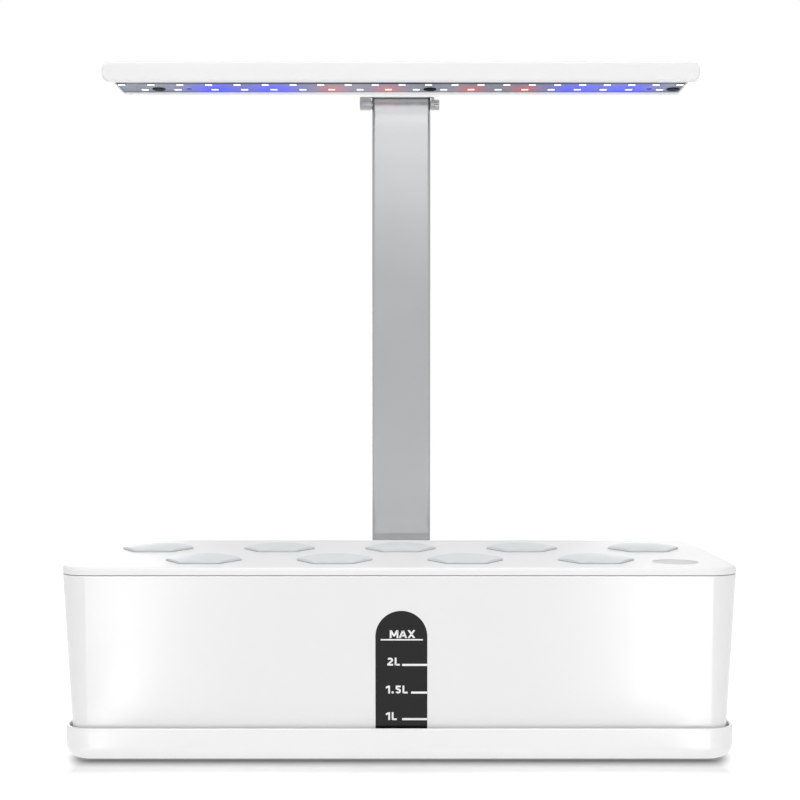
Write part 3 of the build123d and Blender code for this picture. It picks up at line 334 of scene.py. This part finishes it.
# Each small panel by the pole: its middle, which way it faces, its length and its radiance.
POLE_PANELS = {
    "pole_top_panel": ((5, 40, 381), FACING_DOWN, 40, 1.4),
    "pole_panel": ((5, -225, 381), FACING_DOWN, 350, 0.3),
    "pole_foot_panel": ((3, 0, 107), FACING_UP, 130, 0.4),
}
POLE_PANEL_W_MM = 60


def mirrored_light(*placing, **size):
    """An area light that only glossy reflections show."""
    area_light(*placing, **size).visible_diffuse = False


for name, (near, far, width_mm, radiance) in TABLE_STRIPS.items():
    middle_mm = ((near[0] + far[0]) / 2, (near[1] + far[1]) / 2, STRIP_Z_MM)
    along = math.atan2(far[1] - near[1], far[0] - near[0]) - math.pi / 2
    mirrored_light("table_strip_" + name, middle_mm, (math.pi, 0, along),
                   width_mm=width_mm, length_mm=math.dist(near, far), radiance=radiance)
for side, (out_mm, width_mm, radiance) in BACK_PANELS.items():
    mirrored_light(f"back_panel_{side}", (side * out_mm, BACK_Y_MM, BACK_Z_MM), FACING_FRONT,
                   width_mm=width_mm, length_mm=BACK_PANEL_H_MM, radiance=radiance)
edge_strip_mm = (0, -420, 900)
mirrored_light("edge_strip", edge_strip_mm, aimed(edge_strip_mm, (0, -80, 60)),
               width_mm=1400, length_mm=140, radiance=EDGE_RADIANCE)
for name, (middle_mm, turn, length_mm, radiance) in POLE_PANELS.items():
    mirrored_light(name, middle_mm, turn, width_mm=POLE_PANEL_W_MM, length_mm=length_mm,
                   radiance=radiance)

# %% [markdown]
# ## Moulded plastics
# Nearly every outside piece is injection moulded. Its skin copies the mould: a polished or finely
# spark-eroded steel surface. To the eye that is a slow unevenness in the gloss, some centimetres
# across, where the plastic shrank, and a grain too fine to see singly that only softens reflections.
# The grain is drawn a little coarser than the real 0.1 mm, so that a close view still shows it. One
# function makes every plastic here, and each plastic is a row of what it is given.

# %% A moulded plastic
# Noise seldom leaves this range, which is stretched to the range of the roughness.
NOISE_RANGE = {"From Min": 0.3, "From Max": 0.7}
finish = {}


def material_tree(name):
    material = bpy.data.materials.new(name)
    material.use_nodes = True
    return material, material.node_tree, material.node_tree.nodes["Principled BSDF"]


def noise_at(tree, size_mm, detail=2.0, stretch=(1, 1, 1)):
    """Noise whose spots are size_mm wide. A stretch below 1 draws them out along that axis."""
    place = add_node(tree, "TexCoord")
    scaled = add_node(tree, "Mapping", {"Vector": place.outputs["Object"]}, {"Scale": stretch})
    noise = add_node(tree, "TexNoise", {"Vector": scaled.outputs[0]},
                     {"Scale": 1 / (size_mm * MM), "Detail": detail})
    return noise.outputs[0]


def dress(tree, skin, mottle, tones, cloud, roughness, relief, depth_mm, strength=1.0):
    """Joins a mottled colour, a cloudy gloss and a fine relief to a shader."""
    tint = add_node(tree, "MixRGB", {0: mottle}, {1: linear(tones[0]), 2: linear(tones[1])})
    gloss = add_node(tree, "MapRange", {"Value": cloud},
                     {**NOISE_RANGE, "To Min": roughness[0], "To Max": roughness[1]})
    bump = add_node(tree, "Bump", {"Height": relief}, {"Distance": depth_mm * MM, "Strength": strength})
    for socket, node in (("Base Color", tint), ("Roughness", gloss), ("Normal", bump)):
        tree.links.new(node.outputs[0], skin.inputs[socket])


def moulded_plastic(name, tones, ior, roughness, grain_mm, grain_depth_mm, cloud_mm):
    material, tree, skin = material_tree(name)
    cloud = noise_at(tree, cloud_mm)
    dress(tree, skin, cloud, tones, cloud, roughness, noise_at(tree, grain_mm), grain_depth_mm)
    skin.inputs["IOR"].default_value = ior
    return material, tree, skin


print("noise is read from", NOISE_RANGE["From Min"], "to", NOISE_RANGE["From Max"])

# %% [markdown]
# ## The white mouldings
# The tank, the tray and the back housing are ABS from a polished mould, and the deck and the lamp's
# housing are ABS with a satin skin. ABS has an IOR of about 1.54, and its gloss is in its roughness:
# 0.25 gives the tank's soft bands of light, and 0.5 spreads a reflection until only a sheen is left.
# The lamp's housing mirrors less still, so the strength of its reflection is turned down.
#
# Where two mouldings meet little light gets in, so a painted shade darkens the skin of the tank and
# the deck within a millimetre of the joint. A thin dark line could be modelled as a groove, but an
# ambient occlusion node finds every joint by itself.

# %% The white mouldings
ABS_IOR = 1.54
WHITE_CLOUD_MM = 60
LAMP_MIRROR = 0.2
# Each: its material's name, its two tones, its roughness, and its grain's width and depth in mm.
WHITES = {
    "white_abs": ("white_abs_moulded", ("#EEEEEE", "#EFEFEF"), (0.24, 0.26), 0.6, 0.0012),
    "deck_white": ("deck_white_moulded", ("#F0F0F0", "#F1F1F1"), (0.46, 0.5), 0.6, 0.0012),
    # The tray's tones are lighter than the tank's: painted light that offsets the shade near the floor.
    "tray_white": ("tray_white_moulded", ("#F2F2F2", "#F3F3F3"), (0.34, 0.38), 0.6, 0.0012),
    "lamp_white": ("white_abs_satin_moulded", ("#EFEFF0", "#F2F2F2"), (0.4, 0.46), 0.5, 0.002),
}
# The colour of the painted shade in a joint, and how far it reaches in mm.
JOINT_SHADE = {"white_abs": ("#303032", 0.75), "deck_white": ("#454547", 1.0)}


def painted_crevice_shade(tree, colour, shade, reach_mm):
    """Paints shade into a colour where other surfaces stand close by."""
    openness = add_node(tree, "AmbientOcclusion", values={"Distance": reach_mm * MM}, samples=8)
    return add_node(tree, "MixRGB", {0: openness.outputs["AO"], 2: colour}, {1: linear(shade)}).outputs[0]


whites = {}
for slot, (name, tones, roughness, grain_mm, grain_depth_mm) in WHITES.items():
    finish[slot], tree, skin = moulded_plastic(name, tones, ABS_IOR, roughness, grain_mm,
                                               grain_depth_mm, WHITE_CLOUD_MM)
    whites[slot] = tree, skin
# Painted shade in the joints of the tank and the deck.
for slot, shade in JOINT_SHADE.items():
    tree, skin = whites[slot]
    plain_colour = skin.inputs["Base Color"].links[0].from_socket
    tree.links.new(painted_crevice_shade(tree, plain_colour, *shade), skin.inputs["Base Color"])
whites["lamp_white"][1].inputs["Specular IOR Level"].default_value = LAMP_MIRROR
print("whites:", sorted(whites))

# %% [markdown]
# ## Light inside the deck
# White plastic two millimetres thick lets some light through, so the sockets and the filler hole
# aren't dark inside. Subsurface scattering would do that slowly and with noise. Here the deck glows a
# little instead, at every point far enough inside its box: the recesses, the walls of the holes and
# the underside, and not the top or the sides.

# %% Light inside the deck
INSIDE_GLOW = 0.17
# How far inside the deck's box a glowing point is, along each axis, in mm.
INSIDE_MM = {"X": 6, "Y": 6, "Z": 0.4}

tree, skin = whites["deck_white"]
deck_low, deck_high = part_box("deck")
half_deck = (deck_high - deck_low) / 2
sides = distances_from(tree, (deck_low + deck_high) / 2)
within = [add_node(tree, "Math", {0: sides.outputs[axis]}, {1: half_deck[i] - INSIDE_MM[axis] * MM},
                   operation="LESS_THAN").outputs[0] for i, axis in enumerate("XYZ")]
in_plan = add_node(tree, "Math", {0: within[0], 1: within[1]}, operation="MULTIPLY")
inside = add_node(tree, "Math", {0: in_plan.outputs[0], 1: within[2]}, operation="MULTIPLY")
soaked = add_node(tree, "Math", {0: inside.outputs[0]}, {1: INSIDE_GLOW}, operation="MULTIPLY")
skin.inputs["Emission Color"].default_value = linear("#FFFFFF")
tree.links.new(soaked.outputs[0], skin.inputs["Emission Strength"])
print("deck glows inside a box of", [round(2000 * half_deck[i] - 2 * INSIDE_MM[axis], 1)
                                     for i, axis in enumerate("XYZ")], "mm")

# %% [markdown]
# ## The small mouldings
# The caps are frosted polypropylene: an undyed, faintly cool plastic whose textured face scatters
# what it mirrors. The baskets are undyed polypropylene too. The button, the switch, the pump and its
# rotor are dull engineering plastics. The feet, the leads and the circuit board are made the same way
# here, because to the eye they too are a tone, a gloss and a grain.

# %% The small mouldings
# Each: its material's name, its two tones, its IOR, its roughness, and its grain's width and depth
# and its clouds' width in mm.
SMALL_MOULDINGS = {
    "cap_frosted": ("frosted_polypropylene_cap", ("#DDE1E2", "#E1E5E6"), 1.49, (0.42, 0.5), 0.5, 0.004, 9),
    "basket_plastic": ("natural_polypropylene_basket", ("#DDE1E0", "#E4E7E6"), 1.49, (0.4, 0.5),
                       0.35, 0.01, 10),
    "button_grey": ("grey_abs_button_moulded", ("#7E8183", "#85888A"), ABS_IOR, (0.38, 0.48),
                    0.3, 0.01, 6),
    "switch_black": ("black_nylon_moulded", ("#1B1B1C", "#222223"), 1.53, (0.4, 0.52), 0.3, 0.015, 5),
    "pump_black": ("black_abs_pump_moulded", ("#1F2022", "#26272A"), ABS_IOR, (0.42, 0.55),
                   0.35, 0.02, 8),
    "rotor_grey": ("grey_acetal_rotor_moulded", ("#6D6F72", "#75777A"), 1.48, (0.35, 0.45), 0.3, 0.01, 6),
    "washer_nylon": ("natural_nylon_washer", ("#E4E1D6", "#EAE8DF"), 1.53, (0.4, 0.5), 0.25, 0.008, 4),
    "foot_rubber": ("black_silicone_rubber_moulded", ("#2A2A2B", "#313132"), 1.41, (0.65, 0.8),
                    0.4, 0.03, 6),
    "lead_black": ("black_pvc_lead_extruded", ("#1A1A1B", "#202021"), 1.53, (0.45, 0.55), 0.3, 0.01, 5),
    "circuit_green": ("green_solder_mask_board", ("#1F5B38", "#256642"), 1.52, (0.25, 0.4), 0.6, 0.01, 4),
}
for slot, moulding in SMALL_MOULDINGS.items():
    finish[slot] = moulded_plastic(*moulding)[0]
print("plastics:", sorted(finish))

# %% [markdown]
# ## The level window
# A smoked polycarbonate pane is a dark plastic with a polished face. Nearly all light that enters is
# absorbed, so it needs no transparency here: the pane reads as a flat dark grey, and its only
# brightness is the thin mirror image of the white room. That image alone is brighter than the pane
# looks, so its strength is brought down.

# %% The level window
PANE_MIRROR = 0.21

finish["smoked_window"], tree, skin = moulded_plastic("smoked_polycarbonate_polished",
                                                      ("#080809", "#0A0A0B"), 1.585, (0.16, 0.22),
                                                      0.6, 0.001, 28)
skin.inputs["Specular IOR Level"].default_value = PANE_MIRROR
print("pane's mirror strength:", PANE_MIRROR)

# %% [markdown]
# ## Metals
# The pole is an extruded aluminium strip. The die leaves faint lines along its length, and anodising
# turns the bare metal into a soft silver that spreads reflections mostly across those lines. An
# anisotropic shader gives such a spread in one number, but streaks also show as lines in a close view.
# They are noise drawn out along the pole: half a millimetre wide and centimetres long.
#
# The hinge is a die-cast, plated zinc alloy, and the screws are turned stainless steel. The lamp's
# screws are blackened steel: black oxide is a dull dark coat that hides the metal, so they are made as
# a dark plastic that mirrors almost nothing.

# %% Metals
METAL_CLOUD_MM = 35
STREAK_STRENGTH = 0.6
OXIDE_MIRROR = 0.05
# Each: its material's name, its two tones, its roughness, its streaks' width in mm, their stretch
# along each axis, and their depth in mm.
METALS = {
    "pole_aluminium": ("anodised_aluminium_extruded", ("#A5A6A7", "#A9AAAB"), (0.24, 0.26),
                       0.5, (1, 1, 0.01), 0.0003),
    "hinge_metal": ("zinc_alloy_die_cast_plated", ("#9A9B9D", "#A6A7A9"), (0.3, 0.42),
                    0.4, (1, 1, 1), 0.01),
    "screw_steel": ("stainless_steel_turned", ("#B4B2AE", "#BFBDB9"), (0.22, 0.34),
                    0.25, (1, 1, 1), 0.004),
}


def satin_metal(name, tones, roughness, streak_mm, stretch, depth_mm):
    material, tree, skin = material_tree(name)
    streak = noise_at(tree, streak_mm, 3.0, stretch)
    dress(tree, skin, streak, tones, noise_at(tree, METAL_CLOUD_MM), roughness, streak, depth_mm,
          STREAK_STRENGTH)
    skin.inputs["Metallic"].default_value = 1.0
    return material


for slot, metal in METALS.items():
    finish[slot] = satin_metal(*metal)
finish["screw_black"], tree, skin = moulded_plastic("black_oxide_steel_turned", ("#0A0A0B", "#101011"),
                                                    1.5, (0.6, 0.7), 0.25, 0.006, 4)
skin.inputs["Specular IOR Level"].default_value = OXIDE_MIRROR
print("metals:", sorted(METALS))

# %% [markdown]
# ## Foam
# The plant sponge is an open-cell foam. Its cells are about half a millimetre wide and break the
# surface as dark pits between pale threads, which a Voronoi pattern gives directly. The cells are
# drawn nearly twice as wide, so that they show.

# %% Foam
CELL_MM = 0.9
PIT_DEPTH_MM = 0.4

finish["sponge"], tree, skin = material_tree("open_cell_foam_cut")
place = add_node(tree, "TexCoord").outputs["Object"]
cells = add_node(tree, "TexVoronoi", {"Vector": place}, {"Scale": 1 / (CELL_MM * MM)})
threads = add_node(tree, "MixRGB", {0: cells.outputs["Distance"]},
                   {1: linear("#4A4238"), 2: linear("#8A8072")})
pits = add_node(tree, "Bump", {"Height": cells.outputs["Distance"]},
                {"Distance": PIT_DEPTH_MM * MM, "Strength": 1.0})
tree.links.new(threads.outputs[0], skin.inputs["Base Color"])
tree.links.new(pits.outputs[0], skin.inputs["Normal"])
skin.inputs["Roughness"].default_value = 0.9
print("foam cells:", CELL_MM, "mm")

# %% [markdown]
# ## The diodes' places
# The lamp's light comes from rows of small diodes, white, red and blue. Each colour is one node made
# of separate solids. Their places are read from those solids, so whatever is drawn round a diode
# always sits under it.

# %% The diodes' places
def islands(node_name):
    """Centres of the separate solids in a node, in metres, from left to right."""
    form = bmesh.new()
    form.from_mesh(nodes[node_name].data)
    bmesh.ops.remove_doubles(form, verts=form.verts, dist=0.001 * MM)
    left = set(form.verts)
    centres = []
    while left:
        front = [left.pop()]
        found = list(front)
        while front:
            vert = front.pop()
            for edge in vert.link_edges:
                other = edge.other_vert(vert)
                if other in left:
                    left.remove(other)
                    front.append(other)
                    found.append(other)
        low = Vector([min(v.co[i] for v in found) for i in range(3)])
        high = Vector([max(v.co[i] for v in found) for i in range(3)])
        centres.append((low + high) / 2)
    form.free()
    return sorted(centres, key=lambda centre: (round(centre.x, 6), centre.y))


diodes = {colour: islands("leds_" + colour) for colour in ("white", "red", "blue")}
print("diodes:", {colour: len(places) for colour, places in diodes.items()})

# %% [markdown]
# ## Coloured light on the board
# The board is aluminium under a nearly matt solder mask. The red and blue diodes flood the mask around
# them with their own colour. Small lamps at the diodes would do that with noise and would tint other
# pieces too. Here each gets a soft round spot that tints the mask and makes it glow a little, and the
# spots belong to the board, so they tilt with it. The glow of a point is the sum of all spots that
# reach it, as light is.

# %% Coloured light on the board
# Each: the spill's colour, its reach in mm, its share of the mask's colour and its share of the glow.
SPILL = {"blue": ("#2028F4", (16, 12, 12), 0.7, 0.6), "red": ("#D81C28", (8, 7, 7), 0.62, 0.24)}
DARK = (0, 0, 0, 1)


def spot(tree, place, centre, spread_mm):
    """A soft round spot about centre: 1 in its middle, falling to nothing."""
    offset = add_node(tree, "VectorMath", {0: place}, {1: tuple(centre)}, operation="SUBTRACT")
    scale = tuple(1 / (s * MM) for s in spread_mm)
    shrunk = add_node(tree, "VectorMath", {0: offset.outputs[0]}, {1: scale}, operation="MULTIPLY")
    far = add_node(tree, "VectorMath", {0: shrunk.outputs[0], 1: shrunk.outputs[0]},
                   operation="DOT_PRODUCT")
    down = add_node(tree, "Math", {0: far.outputs["Value"]}, {1: -1.0}, operation="MULTIPLY")
    return add_node(tree, "Math", {0: down.outputs[0]}, operation="EXPONENT").outputs[0]


def add_light(tree, light, factor, colour):
    """The light so far and a colour that comes in with factor."""
    tint = add_node(tree, "MixRGB", {0: factor}, {1: DARK, 2: (*colour, 1)})
    total = add_node(tree, "MixRGB", {2: tint.outputs[0]}, {0: 1.0, 1: DARK}, blend_type="ADD")
    if light is not None:
        tree.links.new(light, total.inputs[1])
    return total.outputs[0]


# The mask is white; its dark blue-grey tones paint the shade under the lamp and the blue diodes' tint.
finish["led_board"], tree, skin = moulded_plastic("white_solder_mask_board", ("#717A8A", "#757E8E"),
                                                  1.52, (0.45, 0.55), 0.5, 0.01, 28)
place = add_node(tree, "TexCoord").outputs["Object"]
mask = skin.inputs["Base Color"].links[0].from_socket
light = None
for name, (shade, reach_mm, share, power) in SPILL.items():
    for centre in diodes[name]:
        factor = spot(tree, place, centre, reach_mm)
        weaker = add_node(tree, "Math", {0: factor}, {1: share}, operation="MULTIPLY").outputs[0]
        mask = add_node(tree, "MixRGB", {0: weaker, 1: mask}, {2: linear(shade)}).outputs[0]
        light = add_light(tree, light, factor, [power * c for c in linear(shade)[:3]])
print("spots on the board:", sum(len(diodes[name]) for name in SPILL))

# %% [markdown]
# ## White light on the board, and the front wall's shadow
# The pole and the hinge throw some light back on the mask before them, so the board has a pale patch
# there. Beside the front wall a dark strip is painted on the mask as the wall's shadow, which neither
# shows the colours nor glows.

# %% White light on the board, and the front wall's shadow
POLE_PATCH_MM = (-14, 0, 0)
POLE_PATCH_REACH_MM = (55, 40, 20)
WALL_SHADOW_MM = 10.5
BOARD_GLOW = 0.8
BOARD_MIRROR = 0.15

board_low, board_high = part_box("led_board")
patch = (board_low + board_high) / 2 + Vector(POLE_PATCH_MM) * MM
light = add_light(tree, light, spot(tree, place, patch, POLE_PATCH_REACH_MM), linear("#746F78")[:3])
across = add_node(tree, "SeparateXYZ", {0: place}).outputs["Y"]
wall_shadow = add_node(tree, "Math", {0: across}, {1: board_low.y + WALL_SHADOW_MM * MM},
                  operation="LESS_THAN").outputs[0]
# Painted shadow: the front wall's shade on the mask, dark and without glow.
mask = add_node(tree, "MixRGB", {0: wall_shadow, 1: mask}, {2: linear("#171A33")}).outputs[0]
light = add_node(tree, "MixRGB", {0: wall_shadow, 1: light}, {2: DARK}).outputs[0]
tree.links.new(mask, skin.inputs["Base Color"])
tree.links.new(light, skin.inputs["Emission Color"])
skin.inputs["Emission Strength"].default_value = BOARD_GLOW
skin.inputs["Specular IOR Level"].default_value = BOARD_MIRROR
print("board in mm:", [round(1000 * side, 1) for side in board_high - board_low])

# %% [markdown]
# ## The lit rail
# The lamp's white housing ends in a rail round the board. The rail takes up the diodes' light, so its
# underside glows. It is every point of the housing that is no higher than the board's face and lies
# behind the front wall, and both are measured from the board's own box.

# %% The lit rail
RAIL_GLOW = 0.28
# How far above the board's face and before its front edge the glow still reaches, in mm.
ABOVE_FACE_MM = 0.05
BEFORE_EDGE_MM = 0.25

tree, skin = whites["lamp_white"]
place = add_node(tree, "SeparateXYZ", {0: add_node(tree, "TexCoord").outputs["Object"]})
under = add_node(tree, "Math", {0: place.outputs["Z"]}, {1: board_low.z + ABOVE_FACE_MM * MM},
                 operation="LESS_THAN")
behind = add_node(tree, "Math", {0: place.outputs["Y"]}, {1: board_low.y - BEFORE_EDGE_MM * MM},
                  operation="GREATER_THAN")
lit_rail = add_node(tree, "Math", {0: under.outputs[0], 1: behind.outputs[0]}, operation="MULTIPLY")
glow = add_node(tree, "Math", {0: lit_rail.outputs[0]}, {1: RAIL_GLOW}, operation="MULTIPLY")
skin.inputs["Emission Color"].default_value = linear("#FFFDF8")
tree.links.new(glow.outputs[0], skin.inputs["Emission Strength"])
print("the rail glows below", round(1000 * board_low.z, 1), "mm")

# %% [markdown]
# ## The diodes
# Each diode is a small white package with a flat window of clear resin, which glows. The window is the
# face that looks down, so it is found by its normal, and one material serves the whole solid. Seen
# straight on, a lit diode is so bright that its colour washes out to a warm or a cool white, while the
# mask round it shows the colour itself.

# %% The diodes
# Each: the colour of its window and how strongly it glows.
WINDOWS = {"white": ("#FFFAF4", 1.6), "red": ("#FFB888", 1.7), "blue": ("#D4DCFF", 1.7)}
# A face is a window where its normal's Z is less than this, which is almost straight down.
WINDOW_NORMAL_Z = -0.9

for name, (shade, strength) in WINDOWS.items():
    slot = "led_" + name
    finish[slot], tree, skin = moulded_plastic(name + "_diode_package", ("#F4F4F2", "#F8F8F6"), 1.5,
                                               (0.3, 0.4), 0.3, 0.004, 3)
    skin.inputs["Emission Color"].default_value = linear(shade)
    normal = add_node(tree, "SeparateXYZ", {0: add_node(tree, "TexCoord").outputs["Normal"]})
    window = add_node(tree, "Math", {0: normal.outputs["Z"]}, {1: WINDOW_NORMAL_Z}, operation="LESS_THAN")
    power = add_node(tree, "Math", {0: window.outputs[0]}, {1: strength}, operation="MULTIPLY")
    tree.links.new(power.outputs[0], skin.inputs["Emission Strength"])
print("windows:", WINDOWS)

# %% [markdown]
# ## Every finish on its node
# The model's record names one finish for each node. Here the deck and the tray share the tank's
# plastic in the record, but come from moulds of their own, so each has its own skin.

# %% Every finish on its node
# The tray's own skin is also lighter: painted light that offsets the shade near the floor.
OWN_FINISH = {"deck": "deck_white", "drip_tray": "tray_white"}

slot_of = {part["node"]: part["material_slot"] for part in frame["record"]["subparts"]}
for name, thing in nodes.items():
    thing.data.materials.clear()
    thing.data.materials.append(finish[OWN_FINISH.get(name, slot_of[name])])
print("finished nodes:", len(slot_of))

# %% [markdown]
# ## The printed level marks
# The marks are white ink on the pane: a line at each half litre with its figure, and a longer line at
# the fill limit. Ink is a film a few hundredths of a millimetre thick, laid on the pane, which leans
# with the tank's wall. Each point finds the wall with a ray, so the print follows the lean exactly.

# %% Where the marks lie
INK_MM = 0.06
PANE_RIGHT = 14.7
# Each text with its left edge, its foot and the gap between its figures, in mm.
TEXTS = (("MAX", -5.0, 66.1, 0.25), ("2L", -6.3, 51.45, 0.9),
         ("1.5L", -7.1, 36.55, 0.85), ("1L", -7.1, 22.3, 0.9))
# Each line: its left and right end, its middle height and its thickness, in mm.
LINES = ((-9.8, 12.5, 65.2, 0.7), (1.5, PANE_RIGHT, 51.8, 1.1), (6.2, PANE_RIGHT, 37.0, 1.1),
         (1.5, PANE_RIGHT, 22.8, 1.1))

pane = nodes["level_window"]


def pane_y(x, z):
    hit, at, _, _ = pane.ray_cast(Vector((x, -1.0, z)), Vector((0, 1, 0)))
    if not hit:
        raise RuntimeError(f"no pane at {x}, {z}")
    return at.y


print("the pane at the fill limit is at Y", round(1000 * pane_y(0, LINES[0][2] * MM), 2), "mm")

# %% [markdown]
# ## The figures
# The figures are plain upright ones of one pen width, as on a measuring jug. A text object would bring
# a typeface's own shapes, so each figure is built from bars, slanting strokes and arcs cut from the
# same pen. In a figure's box w is its width, h its height and t the pen's thickness, and every point
# is a share of those.

# %% Strokes of the pen
PEN = 0.92


def bar(x0, y0, x1, y1):
    return [(x0, y0), (x1, y0), (x1, y1), (x0, y1)]


def slant(x0, y0, x1, y1):
    """A pen stroke cut level at both ends."""
    half = PEN / 2 * math.hypot(x1 - x0, y1 - y0) / abs(y1 - y0)
    return [(x0 - half, y0), (x0 + half, y0), (x1 + half, y1), (x1 - half, y1)]


def arc(x, y, rx, ry, start_deg, end_deg, steps=14):
    turns = [math.radians(start_deg + (end_deg - start_deg) * i / steps) for i in range(steps + 1)]
    outer = [(x + rx * math.cos(a), y + ry * math.sin(a)) for a in turns]
    inner = [(x + (rx - PEN) * math.cos(a), y + (ry - PEN) * math.sin(a)) for a in turns]
    return [[outer[i], outer[i + 1], inner[i + 1], inner[i]] for i in range(steps)]


print("pen width:", PEN, "mm")

# %% The figures
FIGURE_H = 4.2
# Width of each figure, in mm.
FIGURE_W = {"M": 4.5, "A": 4.4, "X": 4.0, "1": 2.2, "2": 3.0, "5": 3.0, "L": 2.7, ".": 1.05}


def figure(letter):
    """The quads of one figure, in a box FIGURE_W wide and FIGURE_H high."""
    w, h, t = FIGURE_W[letter], FIGURE_H, PEN
    if letter == "L":
        return [bar(0, 0, t, h), bar(0, 0, w, t)]
    if letter == ".":
        return [bar(0, 0, w, w)]
    if letter == "M":
        return [bar(0, 0, t, h), bar(w - t, 0, w, h),
                slant(0.6 * t, h, w / 2, 0.22 * h), slant(w - 0.6 * t, h, w / 2, 0.22 * h)]
    if letter == "A":
        return [slant(0.55 * t, 0, w / 2, h), slant(w - 0.55 * t, 0, w / 2, h),
                bar(0.25 * w, 0.2 * h, 0.75 * w, 0.2 * h + 0.85 * t)]
    if letter == "X":
        return [slant(0.6 * t, 0, w - 0.6 * t, h), slant(w - 0.6 * t, 0, 0.6 * t, h)]
    if letter == "1":
        flag = [(w - t, h), (w - t, h - 1.15 * t), (0, 0.6 * h), (0, 0.6 * h + 1.1 * t)]
        return [bar(w - t, 0, w, h), flag]
    if letter == "2":
        bowl = arc(w / 2, 0.7 * h, w / 2, 0.3 * h, 165, -38)
        return bowl + [bar(0, 0, w, t), [bowl[-1][2], bowl[-1][1], (1.3 * t, t), (0, t)]]
    bowl = arc(w / 2, 0.32 * h, w / 2, 0.32 * h, 128, -150)
    return bowl + [bar(0.1 * w, 0.5 * h, 0.1 * w + t, h), bar(0.1 * w, h - t, 0.95 * w, h)]


print("quads in each figure:", {letter: len(figure(letter)) for letter in FIGURE_W})

# %% [markdown]
# ## The print
# Each quad becomes a closed film: its front stands proud of the pane by the ink's thickness, its back
# lies on the pane, and four sides close it. The whole print is one piece, attached to the base's body.

# %% The print
def print_quad(form, corners):
    """A closed film of ink over one quad of the pane."""
    front = []
    back = []
    for x, z in corners:
        wall = pane_y(x * MM, z * MM)
        front.append(form.verts.new((x * MM, wall - INK_MM * MM, z * MM)))
        back.append(form.verts.new((x * MM, wall, z * MM)))
    form.faces.new(front)
    form.faces.new(back[::-1])
    for i in range(4):
        j = (i + 1) % 4
        form.faces.new([front[i], back[i], back[j], front[j]])


ink = bmesh.new()
for text, left, foot, gap in TEXTS:
    for letter in text:
        for quad in figure(letter):
            print_quad(ink, [(left + x, foot + y) for x, y in quad])
        left += FIGURE_W[letter] + gap
for left, right, level, thick in LINES:
    print_quad(ink, bar(left, level - thick / 2, right, level + thick / 2))
bmesh.ops.recalc_face_normals(ink, faces=ink.faces)
ink_mesh = bpy.data.meshes.new("level_marks")
ink.to_mesh(ink_mesh)
ink.free()
ink_mesh.materials.append(moulded_plastic("white_screen_ink_printed", ("#F4F4F4", "#F8F8F8"), 1.5,
                                          (0.4, 0.55), 0.2, 0.004, 3)[0])
marks = bpy.data.objects.new("level_marks", ink_mesh)
bpy.context.scene.collection.objects.link(marks)
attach(marks, "base")
print("level marks:", len(ink_mesh.vertices), "points")
